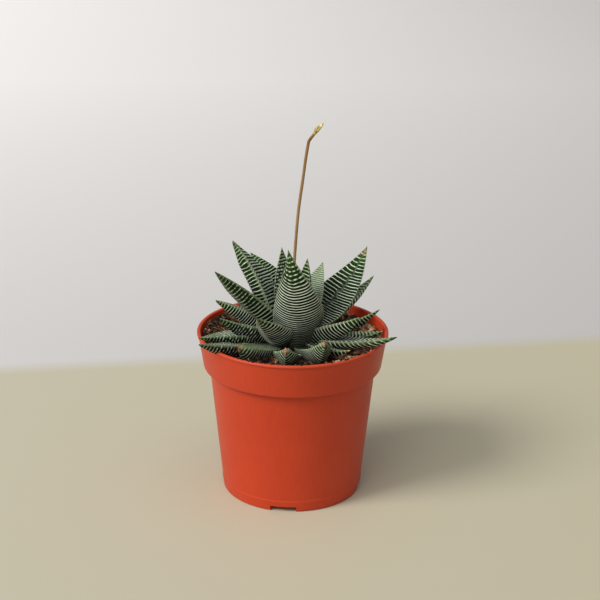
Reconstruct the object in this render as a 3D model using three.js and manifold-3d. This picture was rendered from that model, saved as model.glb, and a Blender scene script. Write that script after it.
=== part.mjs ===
// Potted haworthia: a rosette of thick, ridged leaves on a short stem, in a round nursery pot.
// Millimetres, +Z up. The origin is the middle of the pot's foot, where it stands. The front is -Y.
import * as THREE from "three";
import { mergeVertices } from "three/addons/utils/BufferGeometryUtils.js";
import Module from "manifold-3d";

const wasm = await Module();
wasm.setup();

// Pot sizes: a round nursery pot of 10.5 cm
const RIM_RADIUS = 52.5;
const POT_HEIGHT = 92;
const COLLAR_HEIGHT = 19.6;
const COLLAR_FOOT_RADIUS = 48.9;
const BODY_TOP_RADIUS = 45.7;
const BASE_RADIUS = 38.4;
const POT_WALL = 1.3;
const LIP_WIDTH = 2;
const LIP_HEIGHT = 1.6;
const LIP_ROUND = 0.5;
const EDGE_ROUND = 1;
const STEP_BELOW = 1.5;
const STEP_ABOVE = 1;
const POT_SIDES = 40;

// Underside of the pot: a foot disc, a raised channel with drain holes, and a standing ring with notches
const FOOT_RADIUS = 20;
const CHANNEL_RADIUS = 33.5;
const CHANNEL_HEIGHT = 3;
const FLOOR_TOP = CHANNEL_HEIGHT + POT_WALL;
const DRAIN_COUNT = 8;
const DRAIN_RADIUS = 3.5;
const DRAIN_CIRCLE = 27;
const DRAIN_SIDES = 12;
const NOTCH_COUNT = 4;
const NOTCH_WIDTH = 14;
const NOTCH_AZIMUTH = -96.6;

// Clear space kept between pieces that touch, and the distance at which points are one point
const GAP = 0.35;
const MERGE_DISTANCE = 1e-3;

// Soil: its mean level, its fall towards the right and the front, and the height of its crumbs
const SOIL_LEVEL = 85.8;
const SOIL_FALL = [0.035, -0.02];
const CRUMB_HEIGHT = 0.5;
const SOIL_RINGS = 6;
const SOIL_SEED = 41;

// Short stem that the leaves grow from, as radius and height pairs from the root up
const STEM_OUTLINE = [[7, 80], [9, 84], [9, 90], [7.5, 95], [4, 99], [0, 100]];
const STEM_SIDES = 14;

// Leaf outline: the share by which it starts ahead of a point, how fast it widens and narrows, and the
// peak of that curve
const ROOT_SHARE = 0.25;
const RISE_POWER = 0.8;
const FALL_POWER = 1.2;
const OUTLINE_PEAK = 0.407;
const NECK_SHARE = 0.35;

// Leaf section and its cross ridges
const MARGIN_THICKNESS = 0.7;
const TIP_HALF_WIDTH = 0.5;
const RIDGE_HEIGHT = 0.6;
const RIDGE_SAG = 0.05;
const RIDGE_FADE = 3;
const UPPER_BULGE = 0.12;
const THINNING = 0.75;
const TIP_ROUND_SHARE = 0.25;
const KEEL_POWER = 0.7;
const SPINE_STEPS = 40;
const CLEARANCE_RINGS = 8;

// Dry flower stalk: points that its bend needs, from the stem to the dead flower
const STALK_RADIUS = 0.75;
const STALK_SIDES = 6;
const STALK_STEPS = 22;
const STALK_POINTS = [
  [0.3, 3, 101], [0.2, 4, 116], [0.6, 4, 130], [2.4, 4, 157], [5, 4, 178],
  [6.2, 4, 187.7], [7.3, 4, 195], [8, 4, 197.8], [10.2, 4, 200.9],
];
const STALK_TAPER = 0.2;
const BUD_LENGTH = 9.2;
const BUD_RADIUS = 1.4;
const BUD_TIP_RADIUS = 0.35;
const BUD_STEPS = 6;

// Two pale pebbles that lie on the soil at the right: place, half sizes and turn in degrees
const PEBBLE_SIDES = 8;
const PEBBLES = [
  { name: "pebble_large", at: [34.6, -17.6], half: [2.3, 1.7, 1.3], turn: 25 },
  { name: "pebble_small", at: [30.6, -24.2], half: [1.6, 1.2, 1], turn: -30 },
];

const POT_COLOUR = 0xc5452c;
const SOIL_COLOUR = 0x4a2e1f;
const STEM_COLOUR = 0x8a8b5e;
const LEAF_COLOUR = 0x4f7a42;
const STALK_COLOUR = 0xa9855b;
const PEBBLE_COLOUR = 0xc9b27c;

// Leaf kinds: thickness at the root, how keeled the lower face is, how deep the upper face is cupped,
// the share of its width that the leaf has at the root, and how far from the axis it starts
const BROAD = { thick: 7, keel: 0.35, cup: 0.2, neck: 0.9, root: 10 };
const CLASPING = { thick: 7, keel: 0.7, cup: 0.2, neck: 0.8, root: 10 };
const PLUMP = { thick: 9.5, keel: 0.5, cup: 0.2, neck: 0.4, root: 10 };
const THIN = { thick: 5, keel: 0.6, cup: 0.2, neck: 0.8, root: 4 };
const KEELED = { thick: 6.5, keel: 0.7, cup: 0.2, neck: 0.8, root: 4 };
const STOUT = { thick: 9.6, keel: 0.7, cup: 0.2, neck: 0.8, root: 4 };
const LOW = { thick: 5.2, keel: 0.7, cup: 0.2, neck: 0.45, root: 4 };
const DEEP = { thick: 8.8, keel: 0.7, cup: 0.2, neck: 0.45, root: 4 };
const OUTER = { thick: 8.8, keel: 0.7, cup: 0.2, neck: 0.8, root: 16 };
const CHANNELLED = { thick: 7, keel: 0.65, cup: 0.28, neck: 0.8, root: 4 };
const FOLDED = { thick: 10, keel: 0.65, cup: 0.28, neck: 0.8, root: 4 };

// One leaf a row, from the heart of the rosette outwards, each clear of those before it.
// Angles in degrees: azimuth from +X, lift above the horizontal at the root and at the tip,
// sweep of the azimuth along the leaf, twist about its own length. Root height, length, width in mm.
function leaf(name, azimuth, height, lift, length, width, sweep, twist, ridges, kind) {
  return { name, azimuth, height, lift, length, width, sweep, twist, ridges, ...kind };
}

const LEAVES = [
  leaf("leaf_heart_back", 85, 97, [84, 90], 27, 9, 0, 0, 5, THIN),
  leaf("leaf_heart_left", -170, 97, [80, 88], 25, 9, 0, 0, 5, THIN),
  leaf("leaf_heart_right", -15, 97, [78, 88], 25, 8, 0, 0, 5, THIN),
  leaf("leaf_heart_front", -92, 97, [74, 88], 28, 9, 0, 0, 6, THIN),
  leaf("leaf_inner_right", 32.3, 96.1, [77, 86.5], 35.9, 14.6, 4.7, 4.8, 7, THIN),
  leaf("leaf_inner_left", 128.9, 96.1, [73.7, 89.3], 41.4, 16, -1.7, -1.8, 8, THIN),
  leaf("leaf_front_centre", -76.3, 88.8, [60, 78.5], 64.2, 27.2, -62.4, 5.1, 14, BROAD),
  leaf("leaf_inner_back", 53.5, 94.1, [44.1, 55.3], 38.4, 18.1, 3.9, 6.8, 7, THIN),
  leaf("leaf_upper_left_back", 139.9, 95.5, [69.2, 37.5], 44.1, 20.7, 6.6, -18.7, 9, THIN),
  leaf("leaf_right_large", 36.9, 92.3, [16, 52.1], 64.5, 24.6, 13.6, 18.1, 12, THIN),
  leaf("leaf_upper_left", 166.8, 93.9, [62, 57.2], 58.2, 24.8, 40.3, -15.9, 11, FOLDED),
  leaf("leaf_left_large", -163.8, 92.2, [43.3, 41.6], 64.8, 21.6, 42.5, 0.4, 12, CHANNELLED),
  leaf("leaf_front_left", -115.9, 88.8, [38, 35.5], 40.3, 20.3, -0.5, 4.8, 9, CLASPING),
  leaf("leaf_right_front", -31.1, 91.1, [12.7, 37.5], 47.5, 18.9, -21.1, -9, 9, STOUT),
  leaf("leaf_right_back", 34.5, 90.6, [9.6, 29.6], 59.4, 17.6, 12.3, -30.1, 9, KEELED),
  leaf("leaf_left_middle", -178.8, 90.3, [31.1, 26.2], 43.9, 17.3, 17.7, 10.6, 9, STOUT),
  leaf("leaf_back_middle", 74, 91, [20, 26], 47, 17, 0, 0, 6, THIN),
  leaf("leaf_back_left_middle", 103, 91, [20, 28], 46, 17, 0, 0, 6, THIN),
  leaf("leaf_left_front", -154.4, 89.7, [11.8, 33.7], 44.5, 16.9, 8.2, 13.8, 8, STOUT),
  leaf("leaf_right_dark_tip", -2.9, 90.4, [5.8, 33.5], 47.1, 15.1, -1.7, -31.3, 8, LOW),
  leaf("leaf_front_low", -95, 87, [-20, 54.3], 32.5, 19, 1, -4.5, 7, PLUMP),
  leaf("leaf_front_right_low", -62.2, 88.6, [-18, 57], 37.3, 19, -12.7, -5.4, 8, PLUMP),
  leaf("leaf_front_left_low", -137, 87.2, [-8, 34], 35.5, 21.5, 15, 0, 8, PLUMP),
  leaf("leaf_right_low", -17.9, 89.3, [-3.9, 23.2], 48.2, 14.2, 4.1, 4.2, 8, DEEP),
  leaf("leaf_left_low", -164.3, 89.9, [4.2, 10.5], 52.9, 17.8, 24.2, 6.1, 8, DEEP),
  leaf("leaf_right_overhanging", -31.8, 90.2, [-2.7, 25.4], 63.9, 13.6, -3.4, -5.2, 10, KEELED),
  leaf("leaf_left_overhanging", -143.1, 85.5, [11, 20.7], 49.6, 15.5, 6.7, 8.8, 9, OUTER),
  leaf("leaf_right_small", -55, 90.5, [-11, 26], 48, 8.5, 4, -9, 6, LOW),
  leaf("leaf_back_left", 146, 90, [4, 16], 43, 14, 0, 0, 6, LOW),
  leaf("leaf_back_left_low", 122, 90, [2, 12], 45, 15, 0, 0, 6, LOW),
  leaf("leaf_back_low", 90, 90, [2, 14], 46, 16, 0, 0, 6, LOW),
  leaf("leaf_back_right_low", 60, 90, [2, 12], 44, 15, 0, 0, 6, LOW),
];

const degrees = THREE.MathUtils.degToRad;

// Seeded numbers from 0 to 1, the same on every run
function seededRandom(seed) {
  let state = seed;
  return () => {
    state = (state * 16807) % 2147483647;
    return state / 2147483647;
  };
}

// Closed geometry from points and triangles, with merged vertices
function closedGeometry(source) {
  const bare = source.index ? source.toNonIndexed() : source.clone();
  bare.deleteAttribute("normal");
  bare.deleteAttribute("uv");
  return mergeVertices(bare, MERGE_DISTANCE);
}

// Six times the volume inside a closed surface, negative where its faces point inwards
function signedVolume(position, index) {
  const [a, b, c] = [new THREE.Vector3(), new THREE.Vector3(), new THREE.Vector3()];
  let sum = 0;
  for (let i = 0; i < index.length; i += 3) {
    a.fromBufferAttribute(position, index[i]);
    b.fromBufferAttribute(position, index[i + 1]);
    c.fromBufferAttribute(position, index[i + 2]);
    sum += a.dot(b.cross(c));
  }
  return sum;
}

function toSolid(geometry) {
  const merged = closedGeometry(geometry);
  const position = merged.attributes.position;
  const index = new Uint32Array(merged.index.array);
  if (signedVolume(position, index) < 0) {
    index.reverse();
  }
  return new wasm.Manifold(new wasm.Mesh({
    numProp: 3,
    vertProperties: new Float32Array(position.array),
    triVerts: index,
  }));
}

function toGeometry(solid) {
  const mesh = solid.getMesh();
  const geometry = new THREE.BufferGeometry();
  geometry.setAttribute("position", new THREE.BufferAttribute(mesh.vertProperties, 3));
  geometry.setIndex(new THREE.BufferAttribute(mesh.triVerts, 1));
  return geometry;
}

// The largest body that a cut leaves
function largestBody(solid) {
  const bodies = solid.decompose();
  return bodies.reduce((best, body) => (body.volume() > best.volume() ? body : best));
}

// Surface of revolution about +Z from radius and height pairs that start and end on the axis
function revolved(outline, sides) {
  const points = outline.map(([radius, height]) => new THREE.Vector2(radius, height));
  return new THREE.LatheGeometry(points, sides).rotateX(Math.PI / 2);
}

function outlineRing(outline, sides) {
  return revolved([...outline, outline[0]], sides);
}

// Solid tower of rings, each a list of points in the same order, with flat fans at both ends
function ringTower(rings) {
  const count = rings[0].length;
  const positions = rings.flat().flatMap((point) => [point.x, point.y, point.z]);
  const middles = [rings[0], rings[rings.length - 1]].map((ring) => ring
    .reduce((sum, point) => sum.add(point), new THREE.Vector3()).divideScalar(count));
  middles.forEach((middle) => positions.push(middle.x, middle.y, middle.z));
  const firstMiddle = rings.length * count;
  const index = [];
  for (let ring = 0; ring < rings.length - 1; ring += 1) {
    for (let i = 0; i < count; i += 1) {
      const next = (i + 1) % count;
      const a = ring * count + i;
      const b = ring * count + next;
      index.push(a, b, b + count, a, b + count, a + count);
    }
  }
  const last = (rings.length - 1) * count;
  for (let i = 0; i < count; i += 1) {
    const next = (i + 1) % count;
    index.push(firstMiddle, next, i);
    index.push(firstMiddle + 1, last + i, last + next);
  }
  const geometry = new THREE.BufferGeometry();
  geometry.setAttribute("position", new THREE.Float32BufferAttribute(positions, 3));
  geometry.setIndex(index);
  return geometry;
}

// Height of the soil's mean surface
function soilHeight(x, y) {
  return SOIL_LEVEL - SOIL_FALL[0] * x - SOIL_FALL[1] * y;
}

// Radius of the pot's inner wall at a height
function innerRadius(height) {
  const bodyTop = POT_HEIGHT - COLLAR_HEIGHT;
  const collar = height > bodyTop;
  const lower = collar ? COLLAR_FOOT_RADIUS : BASE_RADIUS;
  const upper = collar ? RIM_RADIUS - (LIP_WIDTH - POT_WALL) : BODY_TOP_RADIUS;
  const share = collar ? (height - bodyTop) / COLLAR_HEIGHT : height / bodyTop;
  return lower + (upper - lower) * share - POT_WALL;
}

// Where the inner wall steps out from the body to the collar
function wallStep() {
  const bodyTop = POT_HEIGHT - COLLAR_HEIGHT;
  const lowerHeight = bodyTop - STEP_BELOW;
  const upperHeight = bodyTop + STEP_ABOVE;
  return {
    lowerHeight,
    upperHeight,
    lowerRadius: innerRadius(lowerHeight),
    upperRadius: innerRadius(upperHeight),
  };
}

function potBody() {
  const bodyTop = POT_HEIGHT - COLLAR_HEIGHT;
  const lipFoot = POT_HEIGHT - LIP_HEIGHT;
  const step = wallStep();
  return revolved([
    [0, 0],
    [FOOT_RADIUS, 0],
    [FOOT_RADIUS, CHANNEL_HEIGHT],
    [CHANNEL_RADIUS, CHANNEL_HEIGHT],
    [CHANNEL_RADIUS, 0],
    [BASE_RADIUS - EDGE_ROUND, 0],
    [BASE_RADIUS, EDGE_ROUND],
    [BODY_TOP_RADIUS, bodyTop - EDGE_ROUND],
    [COLLAR_FOOT_RADIUS - EDGE_ROUND, bodyTop - EDGE_ROUND / 2],
    [COLLAR_FOOT_RADIUS, bodyTop + EDGE_ROUND / 2],
    [RIM_RADIUS - LIP_ROUND, lipFoot],
    [RIM_RADIUS, lipFoot + LIP_ROUND],
    [RIM_RADIUS, POT_HEIGHT - LIP_ROUND],
    [RIM_RADIUS - LIP_ROUND, POT_HEIGHT],
    [RIM_RADIUS - LIP_WIDTH + LIP_ROUND, POT_HEIGHT],
    [RIM_RADIUS - LIP_WIDTH, POT_HEIGHT - LIP_ROUND],
    [step.upperRadius, step.upperHeight],
    [step.lowerRadius, step.lowerHeight],
    [innerRadius(FLOOR_TOP), FLOOR_TOP],
    [0, FLOOR_TOP],
  ], POT_SIDES);
}

function drainHole(angle) {
  const hole = new THREE.CylinderGeometry(DRAIN_RADIUS, DRAIN_RADIUS, FLOOR_TOP * 3, DRAIN_SIDES);
  hole.rotateX(Math.PI / 2);
  hole.translate(DRAIN_CIRCLE * Math.cos(angle), DRAIN_CIRCLE * Math.sin(angle), FLOOR_TOP);
  return hole;
}

function standingNotch(angle) {
  const reach = (BASE_RADIUS - CHANNEL_RADIUS) * 2;
  const notch = new THREE.BoxGeometry(reach, NOTCH_WIDTH, CHANNEL_HEIGHT * 2);
  notch.translate((BASE_RADIUS + CHANNEL_RADIUS) / 2, 0, 0);
  notch.rotateZ(angle);
  return notch;
}

function potSolid() {
  let solid = toSolid(potBody());
  for (let i = 0; i < DRAIN_COUNT; i += 1) {
    solid = solid.subtract(toSolid(drainHole((i + 0.5) * 2 * Math.PI / DRAIN_COUNT)));
  }
  for (let i = 0; i < NOTCH_COUNT; i += 1) {
    solid = solid.subtract(toSolid(standingNotch(degrees(NOTCH_AZIMUTH + i * 360 / NOTCH_COUNT))));
  }
  return solid;
}

// Soil that fills the pot: a crumbly top, a plain hole for the stem, and a gap to the wall
function soilSolid() {
  const random = seededRandom(SOIL_SEED);
  const bottom = FLOOR_TOP + GAP;
  const step = wallStep();
  const holeRadius = STEM_OUTLINE[1][0] + GAP;
  const holeFloor = STEM_OUTLINE[0][1] - GAP;
  const edgeRadius = innerRadius(SOIL_LEVEL) - GAP;
  const top = [];
  for (let ring = 0; ring <= SOIL_RINGS; ring += 1) {
    top.push([edgeRadius + (holeRadius - edgeRadius) * ring / SOIL_RINGS, SOIL_LEVEL]);
  }
  const geometry = closedGeometry(revolved([
    [0, bottom],
    [innerRadius(bottom) - GAP, bottom],
    [step.lowerRadius - GAP, step.lowerHeight],
    [step.upperRadius - GAP, step.upperHeight + GAP],
    ...top,
    [holeRadius, holeFloor],
    [0, holeFloor],
  ], POT_SIDES));
  const position = geometry.attributes.position;
  for (let i = 0; i < position.count; i += 1) {
    if (Math.abs(position.getZ(i) - SOIL_LEVEL) < MERGE_DISTANCE) {
      const crumb = (random() * 2 - 1) * CRUMB_HEIGHT;
      position.setZ(i, soilHeight(position.getX(i), position.getY(i)) + crumb);
    }
  }
  return toSolid(geometry);
}

// Space that leaves keep clear of the soil
function soilClearance() {
  const block = new THREE.CylinderGeometry(RIM_RADIUS, RIM_RADIUS, SOIL_LEVEL, POT_SIDES);
  block.rotateX(Math.PI / 2);
  const position = block.attributes.position;
  for (let i = 0; i < position.count; i += 1) {
    const top = soilHeight(position.getX(i), position.getY(i)) + CRUMB_HEIGHT + GAP;
    position.setZ(i, position.getZ(i) > 0 ? top : 0);
  }
  return toSolid(block);
}

// Space that leaves keep clear of the pot's rim
function rimClearance() {
  const bottom = POT_HEIGHT - COLLAR_HEIGHT;
  const outside = RIM_RADIUS + GAP * 2;
  const inside = RIM_RADIUS - LIP_WIDTH - GAP * 2;
  return toSolid(outlineRing([
    [inside, bottom], [outside, bottom], [outside, POT_HEIGHT + GAP], [inside, POT_HEIGHT + GAP],
  ], POT_SIDES));
}

function stemSolid(grow) {
  const outline = STEM_OUTLINE.map(([radius, height]) => [radius && radius + grow, height + grow]);
  return toSolid(revolved([[0, outline[0][1] - grow * 2], ...outline], STEM_SIDES));
}

// Half width of a leaf at a share of its length: widest near a fifth, drawn out to the tip
function halfWidth(spec, share) {
  const shape = (share + ROOT_SHARE) ** RISE_POWER * (1 - share) ** FALL_POWER / OUTLINE_PEAK;
  const neck = spec.neck + (1 - spec.neck) * THREE.MathUtils.smoothstep(share, 0, NECK_SHARE);
  return Math.max(spec.width / 2 * shape * neck, TIP_HALF_WIDTH);
}

function thickness(spec, share) {
  const rounded = Math.min(1, Math.sqrt(Math.max(1 - share, 0) / TIP_ROUND_SHARE));
  return spec.thick * (1 - THINNING * share) * rounded;
}

// Direction, side and upward vectors of a leaf's middle line at a share of its length
function leafFrame(spec, share) {
  const lift = degrees(spec.lift[0] + (spec.lift[1] - spec.lift[0]) * share);
  const azimuth = degrees(spec.azimuth + spec.sweep * share);
  const along = new THREE.Vector3(
    Math.cos(lift) * Math.cos(azimuth), Math.cos(lift) * Math.sin(azimuth), Math.sin(lift),
  );
  const side = new THREE.Vector3(-Math.sin(azimuth), Math.cos(azimuth), 0);
  side.applyAxisAngle(along, degrees(spec.twist));
  const up = new THREE.Vector3().crossVectors(along, side);
  return { along, side, up };
}

// Points along a leaf's middle line
function leafSpine(spec) {
  const azimuth = degrees(spec.azimuth);
  const point = new THREE.Vector3(
    spec.root * Math.cos(azimuth), spec.root * Math.sin(azimuth), spec.height,
  );
  const points = [point.clone()];
  for (let step = 0; step < SPINE_STEPS; step += 1) {
    const { along } = leafFrame(spec, (step + 0.5) / SPINE_STEPS);
    point.addScaledVector(along, spec.length / SPINE_STEPS);
    points.push(point.clone());
  }
  return points;
}

// A point on a leaf: across runs from -1 to 1, face is 1 above and -1 below, lift stands off the face
function leafPoint(spec, spine, share, across, face, lift) {
  const place = THREE.MathUtils.clamp(share, 0, 1) * SPINE_STEPS;
  const step = Math.min(Math.floor(place), SPINE_STEPS - 1);
  const middle = spine[step].clone().lerp(spine[step + 1], place - step);
  const { side, up } = leafFrame(spec, share);
  const half = halfWidth(spec, share);
  const thick = thickness(spec, share);
  const open = 1 - across ** 2;
  const vee = spec.keel * Math.max(share, 0) ** KEEL_POWER;
  const below = thick * ((1 - vee) * Math.sqrt(Math.max(open, 0)) + vee * (1 - Math.abs(across)));
  const above = UPPER_BULGE * thick * open;
  const height = spec.cup * half * across ** 2
    + face * (MARGIN_THICKNESS / 2 + (face > 0 ? above : below) + lift);
  return middle.addScaledVector(side, across * half).addScaledVector(up, height);
}

// Places around a leaf's section, as the share across and the face
const SECTION = [
  [-1, 1], [-0.5, 1], [0.5, 1], [1, 1], [1, -1], [0.6, -1], [0, -1], [-0.6, -1], [-1, -1],
];

// A ridged leaf: every second ring is a crest, and each ring sags towards the root in the middle
function ridgedLeaf(spec) {
  const spine = leafSpine(spec);
  const last = spec.ridges * 2;
  const rings = [];
  for (let ring = 0; ring <= last; ring += 1) {
    const share = ring / last;
    const ends = Math.sin(Math.PI * share);
    const crest = ring % 2 ? RIDGE_HEIGHT * Math.min(1, RIDGE_FADE * (1 - share)) : 0;
    rings.push(SECTION.map(([across, face]) => {
      const inner = Math.abs(across) < 1;
      const sagged = share - RIDGE_SAG * ends * (1 - across ** 2);
      return leafPoint(spec, spine, sagged, across, face, inner ? crest : 0);
    }));
  }
  return toSolid(ringTower(rings));
}

// The same leaf without ridges, grown on every side, as the space that other leaves keep clear of
function leafClearance(spec) {
  const grow = RIDGE_HEIGHT + GAP;
  const spine = leafSpine(spec);
  const rings = [];
  for (let ring = 0; ring <= CLEARANCE_RINGS; ring += 1) {
    const share = ring / CLEARANCE_RINGS;
    const { side, along } = leafFrame(spec, share);
    rings.push(SECTION.map(([across, face]) => leafPoint(spec, spine, share, across, face, grow)
      .addScaledVector(side, across * grow)
      .addScaledVector(along, ring === CLEARANCE_RINGS ? grow : 0)));
  }
  return toSolid(ringTower(rings));
}

// Dry stalk that widens into the shrivelled flower at its end
function stalkSolid(grow) {
  const curve = new THREE.CatmullRomCurve3(STALK_POINTS.map((point) => new THREE.Vector3(...point)));
  const endWay = curve.getTangent(1);
  const end = curve.getPoint(1);
  const across = new THREE.Vector3(0, 1, 0);
  const rings = [];
  const addRing = (middle, way, radius) => {
    const side = new THREE.Vector3().crossVectors(way, across).normalize();
    const up = new THREE.Vector3().crossVectors(side, way).normalize();
    rings.push(Array.from({ length: STALK_SIDES }, (_, i) => {
      const angle = i * 2 * Math.PI / STALK_SIDES;
      return middle.clone()
        .addScaledVector(side, Math.cos(angle) * (radius + grow))
        .addScaledVector(up, Math.sin(angle) * (radius + grow));
    }));
  };
  for (let step = 0; step <= STALK_STEPS; step += 1) {
    const share = step / STALK_STEPS;
    addRing(curve.getPoint(share), curve.getTangent(share), STALK_RADIUS * (1 - STALK_TAPER * share));
  }
  for (let step = 1; step <= BUD_STEPS; step += 1) {
    const share = step / BUD_STEPS;
    const radius = BUD_TIP_RADIUS + BUD_RADIUS * Math.max(0, Math.sin(Math.PI * share));
    addRing(end.clone().addScaledVector(endWay, BUD_LENGTH * share), endWay, radius);
  }
  return toSolid(ringTower(rings));
}

function pebbleSolid({ at, half, turn }) {
  const [x, y] = at;
  const stone = new THREE.SphereGeometry(1, PEBBLE_SIDES, PEBBLE_SIDES / 2 + 1);
  stone.scale(...half);
  stone.rotateZ(degrees(turn));
  stone.translate(x, y, soilHeight(x, y) + CRUMB_HEIGHT + half[2]);
  return toSolid(stone);
}

function addPiece(group, name, solid, colour, roughness) {
  const geometry = toGeometry(solid);
  const material = new THREE.MeshStandardMaterial({ color: colour, roughness, metalness: 0 });
  const mesh = new THREE.Mesh(geometry, material);
  mesh.name = name;
  group.add(mesh);
}

const plant = new THREE.Group();
addPiece(plant, "pot", potSolid(), POT_COLOUR, 0.45);
addPiece(plant, "soil", soilSolid(), SOIL_COLOUR, 1);
addPiece(plant, "stem", stemSolid(0), STEM_COLOUR, 0.7);
addPiece(plant, "flower_stalk", stalkSolid(0), STALK_COLOUR, 0.8);

let taken = stemSolid(GAP).add(stalkSolid(GAP)).add(soilClearance()).add(rimClearance());
for (const spec of LEAVES) {
  addPiece(plant, spec.name, largestBody(ridgedLeaf(spec).subtract(taken)), LEAF_COLOUR, 0.5);
  taken = taken.add(leafClearance(spec));
}
for (const pebble of PEBBLES) {
  addPiece(plant, pebble.name, largestBody(pebbleSolid(pebble).subtract(taken)), PEBBLE_COLOUR, 0.8);
}

export default plant;
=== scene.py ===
"""Potted haworthia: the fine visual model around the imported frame.

Sizes are in millimetres until a mesh is made, and +Z is up. The front is -Y.
"""

import math
from contextlib import contextmanager

import bpy
import bmesh
import numpy as np
from mathutils import Matrix, Quaternion, Vector


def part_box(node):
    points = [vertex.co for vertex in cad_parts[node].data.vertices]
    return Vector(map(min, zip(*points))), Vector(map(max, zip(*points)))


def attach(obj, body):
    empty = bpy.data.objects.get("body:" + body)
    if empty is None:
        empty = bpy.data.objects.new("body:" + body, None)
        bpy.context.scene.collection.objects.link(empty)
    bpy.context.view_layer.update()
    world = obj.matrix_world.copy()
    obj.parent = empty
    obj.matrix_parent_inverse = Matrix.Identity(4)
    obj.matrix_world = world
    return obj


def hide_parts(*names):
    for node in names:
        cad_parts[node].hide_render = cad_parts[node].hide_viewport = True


MM = 0.001
BODY = "root"
TURN = 2 * math.pi
NOISE_SIZE = 64

# Pot sizes
RIM_RADIUS = 52.5
POT_HEIGHT = 92
COLLAR_HEIGHT = 19.6
BODY_TOP = POT_HEIGHT - COLLAR_HEIGHT
COLLAR_FOOT_RADIUS = 48.9
BODY_TOP_RADIUS = 45.7
BASE_RADIUS = 38.4
POT_WALL = 1.3
LIP_WIDTH = 2
LIP_HEIGHT = 1.6
FOOT_RADIUS = 20
CHANNEL_RADIUS = 33.5
CHANNEL_HEIGHT = 3
FLOOR_TOP = CHANNEL_HEIGHT + POT_WALL
DRAIN_COUNT = 8
DRAIN_RADIUS = 3.5
DRAIN_CIRCLE = 27
DRAIN_SIDES = 32
DRAIN_OVERCUT = 2
NOTCH_COUNT = 4
NOTCH_WIDTH = 14
NOTCH_AZIMUTH = -96.6
NOTCH_STEPS = 17
NOTCHED_FROM_RADIUS = CHANNEL_RADIUS - 0.7
NOTCHED_BELOW = CHANNEL_HEIGHT - 0.05
LEDGE_HEIGHT = 6.3
LEDGE_STEP = 0.14
POT_COLUMNS = 240
CORNER_STEPS = 5
# Outline points after the highest one, where painted shade on the inside of the pot begins
SHADED_INSIDE_STEP = 8
# Heights and radii over which the painted highlight on the lip comes in
LIP_SHEEN_HEIGHT = (POT_HEIGHT - 1.5, POT_HEIGHT - 0.2)
LIP_SHEEN_RADIUS = (RIM_RADIUS - 2.4, RIM_RADIUS - 1.6)
SHARP_ANGLE = 32
MERGE_DISTANCE = 0.02
LEAST_EDGE = 0.005

# Moulding pip under the lip: radius, azimuth and height of its place
PIP_PLACE = (52.2, -38, 90.1)
PIP_RADIUS = 0.75
PIP_GRID = (8, 14)
# How much of the lip's painted highlight the pip gets
PIP_SHEEN = 0.8

# Soil surface, and its lumps: height, width and seed
SOIL_LEVEL = 85.8
SOIL_FALL = (0.035, -0.02)
SOIL_GAP = 0.35
SOIL_COLUMNS = 180
SOIL_RINGS = 56
SOIL_BANK = 2.6
BANK_START = 38
BANK_BEHIND = (-22, 4)
BANK_SEED = 71
SOIL_LUMPS = [(0.7, 4.5, 72), (0.45, 1.9, 73), (0.25, 0.9, 74)]
TONE_PATCH = 1.6
TONE_SEED = 75

# Painted light on the soil at the right: how strong it is, and between which places across it comes in
PAINTED_LIGHT_BED = (0.58, 8, 30)
PAINTED_LIGHT_CRUMBS = (0.4, 8, 34)
PAINTED_LIGHT_FIBRES = (0.2, 8, 36)

# Loose crumbs and fibres, and the crumbs on the rim: azimuth, spread and count
CRUMB_COUNT = 1500
CRUMB_SEED = 81
CRUMB_GRID = (5, 8)
CRUMB_SIZE = (0.3, 0.8)
RIM_CRUMBS = [(-118, 6, 16), (-62, 9, 26), (-37, 5, 14), (-90, 12, 10)]
RIM_CRUMB_HEIGHT = POT_HEIGHT - 0.1
LARGEST_RIM_CRUMB = 0.55
WALL_ROOM = 1.2
FIBRE_COUNT = 760
FIBRE_SEED = 83
FIBRE_SIDES = 5
FIBRE_THICKNESS = [0.5, 0.9, 1, 1, 0.95, 0.8, 0.35]
FIBRE_LIFT = 0.35

# Flower stalk, and the bracts at its end: start along it, length, lean, half width, turn and seed
STALK_RADIUS = 0.84
STALK_TAPER = 0.08
STALK_STEPS = 160
STALK_SIDES = 14
STALK_SEED = 91
STALK_POINTS = [
    (0.3, 3, 101), (0.2, 4, 116), (0.6, 4, 130), (2.4, 4, 157), (5, 4, 178),
    (6.2, 4, 187.7), (7.3, 4, 195), (8, 4, 197.8), (10.2, 4, 200.9),
]
BRACTS = [(-0.6, 9.4, -0.45, 0.92, 0.2, 93), (0.2, 6.4, 0.55, 0.95, 1.3, 94), (-0.5, 3.4, 0.1, 0.9, 0.7, 95)]
BRACT_ROWS = 26
BRACT_COLUMNS = 16
BRACT_FLATNESS = 0.75

# Leaf outline and section, as in the solids
ROOT_SHARE = 0.25
RISE_POWER = 0.8
FALL_POWER = 1.2
OUTLINE_PEAK = 0.407
NECK_SHARE = 0.35
BLUNT_PART = (0.6, 0.9)
TIP_HALF_WIDTH = 0.22
TIP_START = 0.96
TIP_ROUND_SHARE = 0.25
MARGIN_THICKNESS = 0.5
THIN_LEAF = 1.2
UPPER_BULGE = 0.12
KEEL_POWER = 0.7
SPINE_STEPS = 40

# Space that a leaf keeps clear of the leaves before it
CLEARANCE = 0.3
CLEARANCE_RINGS = 14
CLEARANCE_SECTION = [(-1, 1), (-0.5, 1), (0, 1), (0.5, 1), (1, 1), (1, -1), (0.6, -1), (0.3, -1), (0, -1),
                     (-0.3, -1), (-0.6, -1), (-1, -1)]

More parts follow.
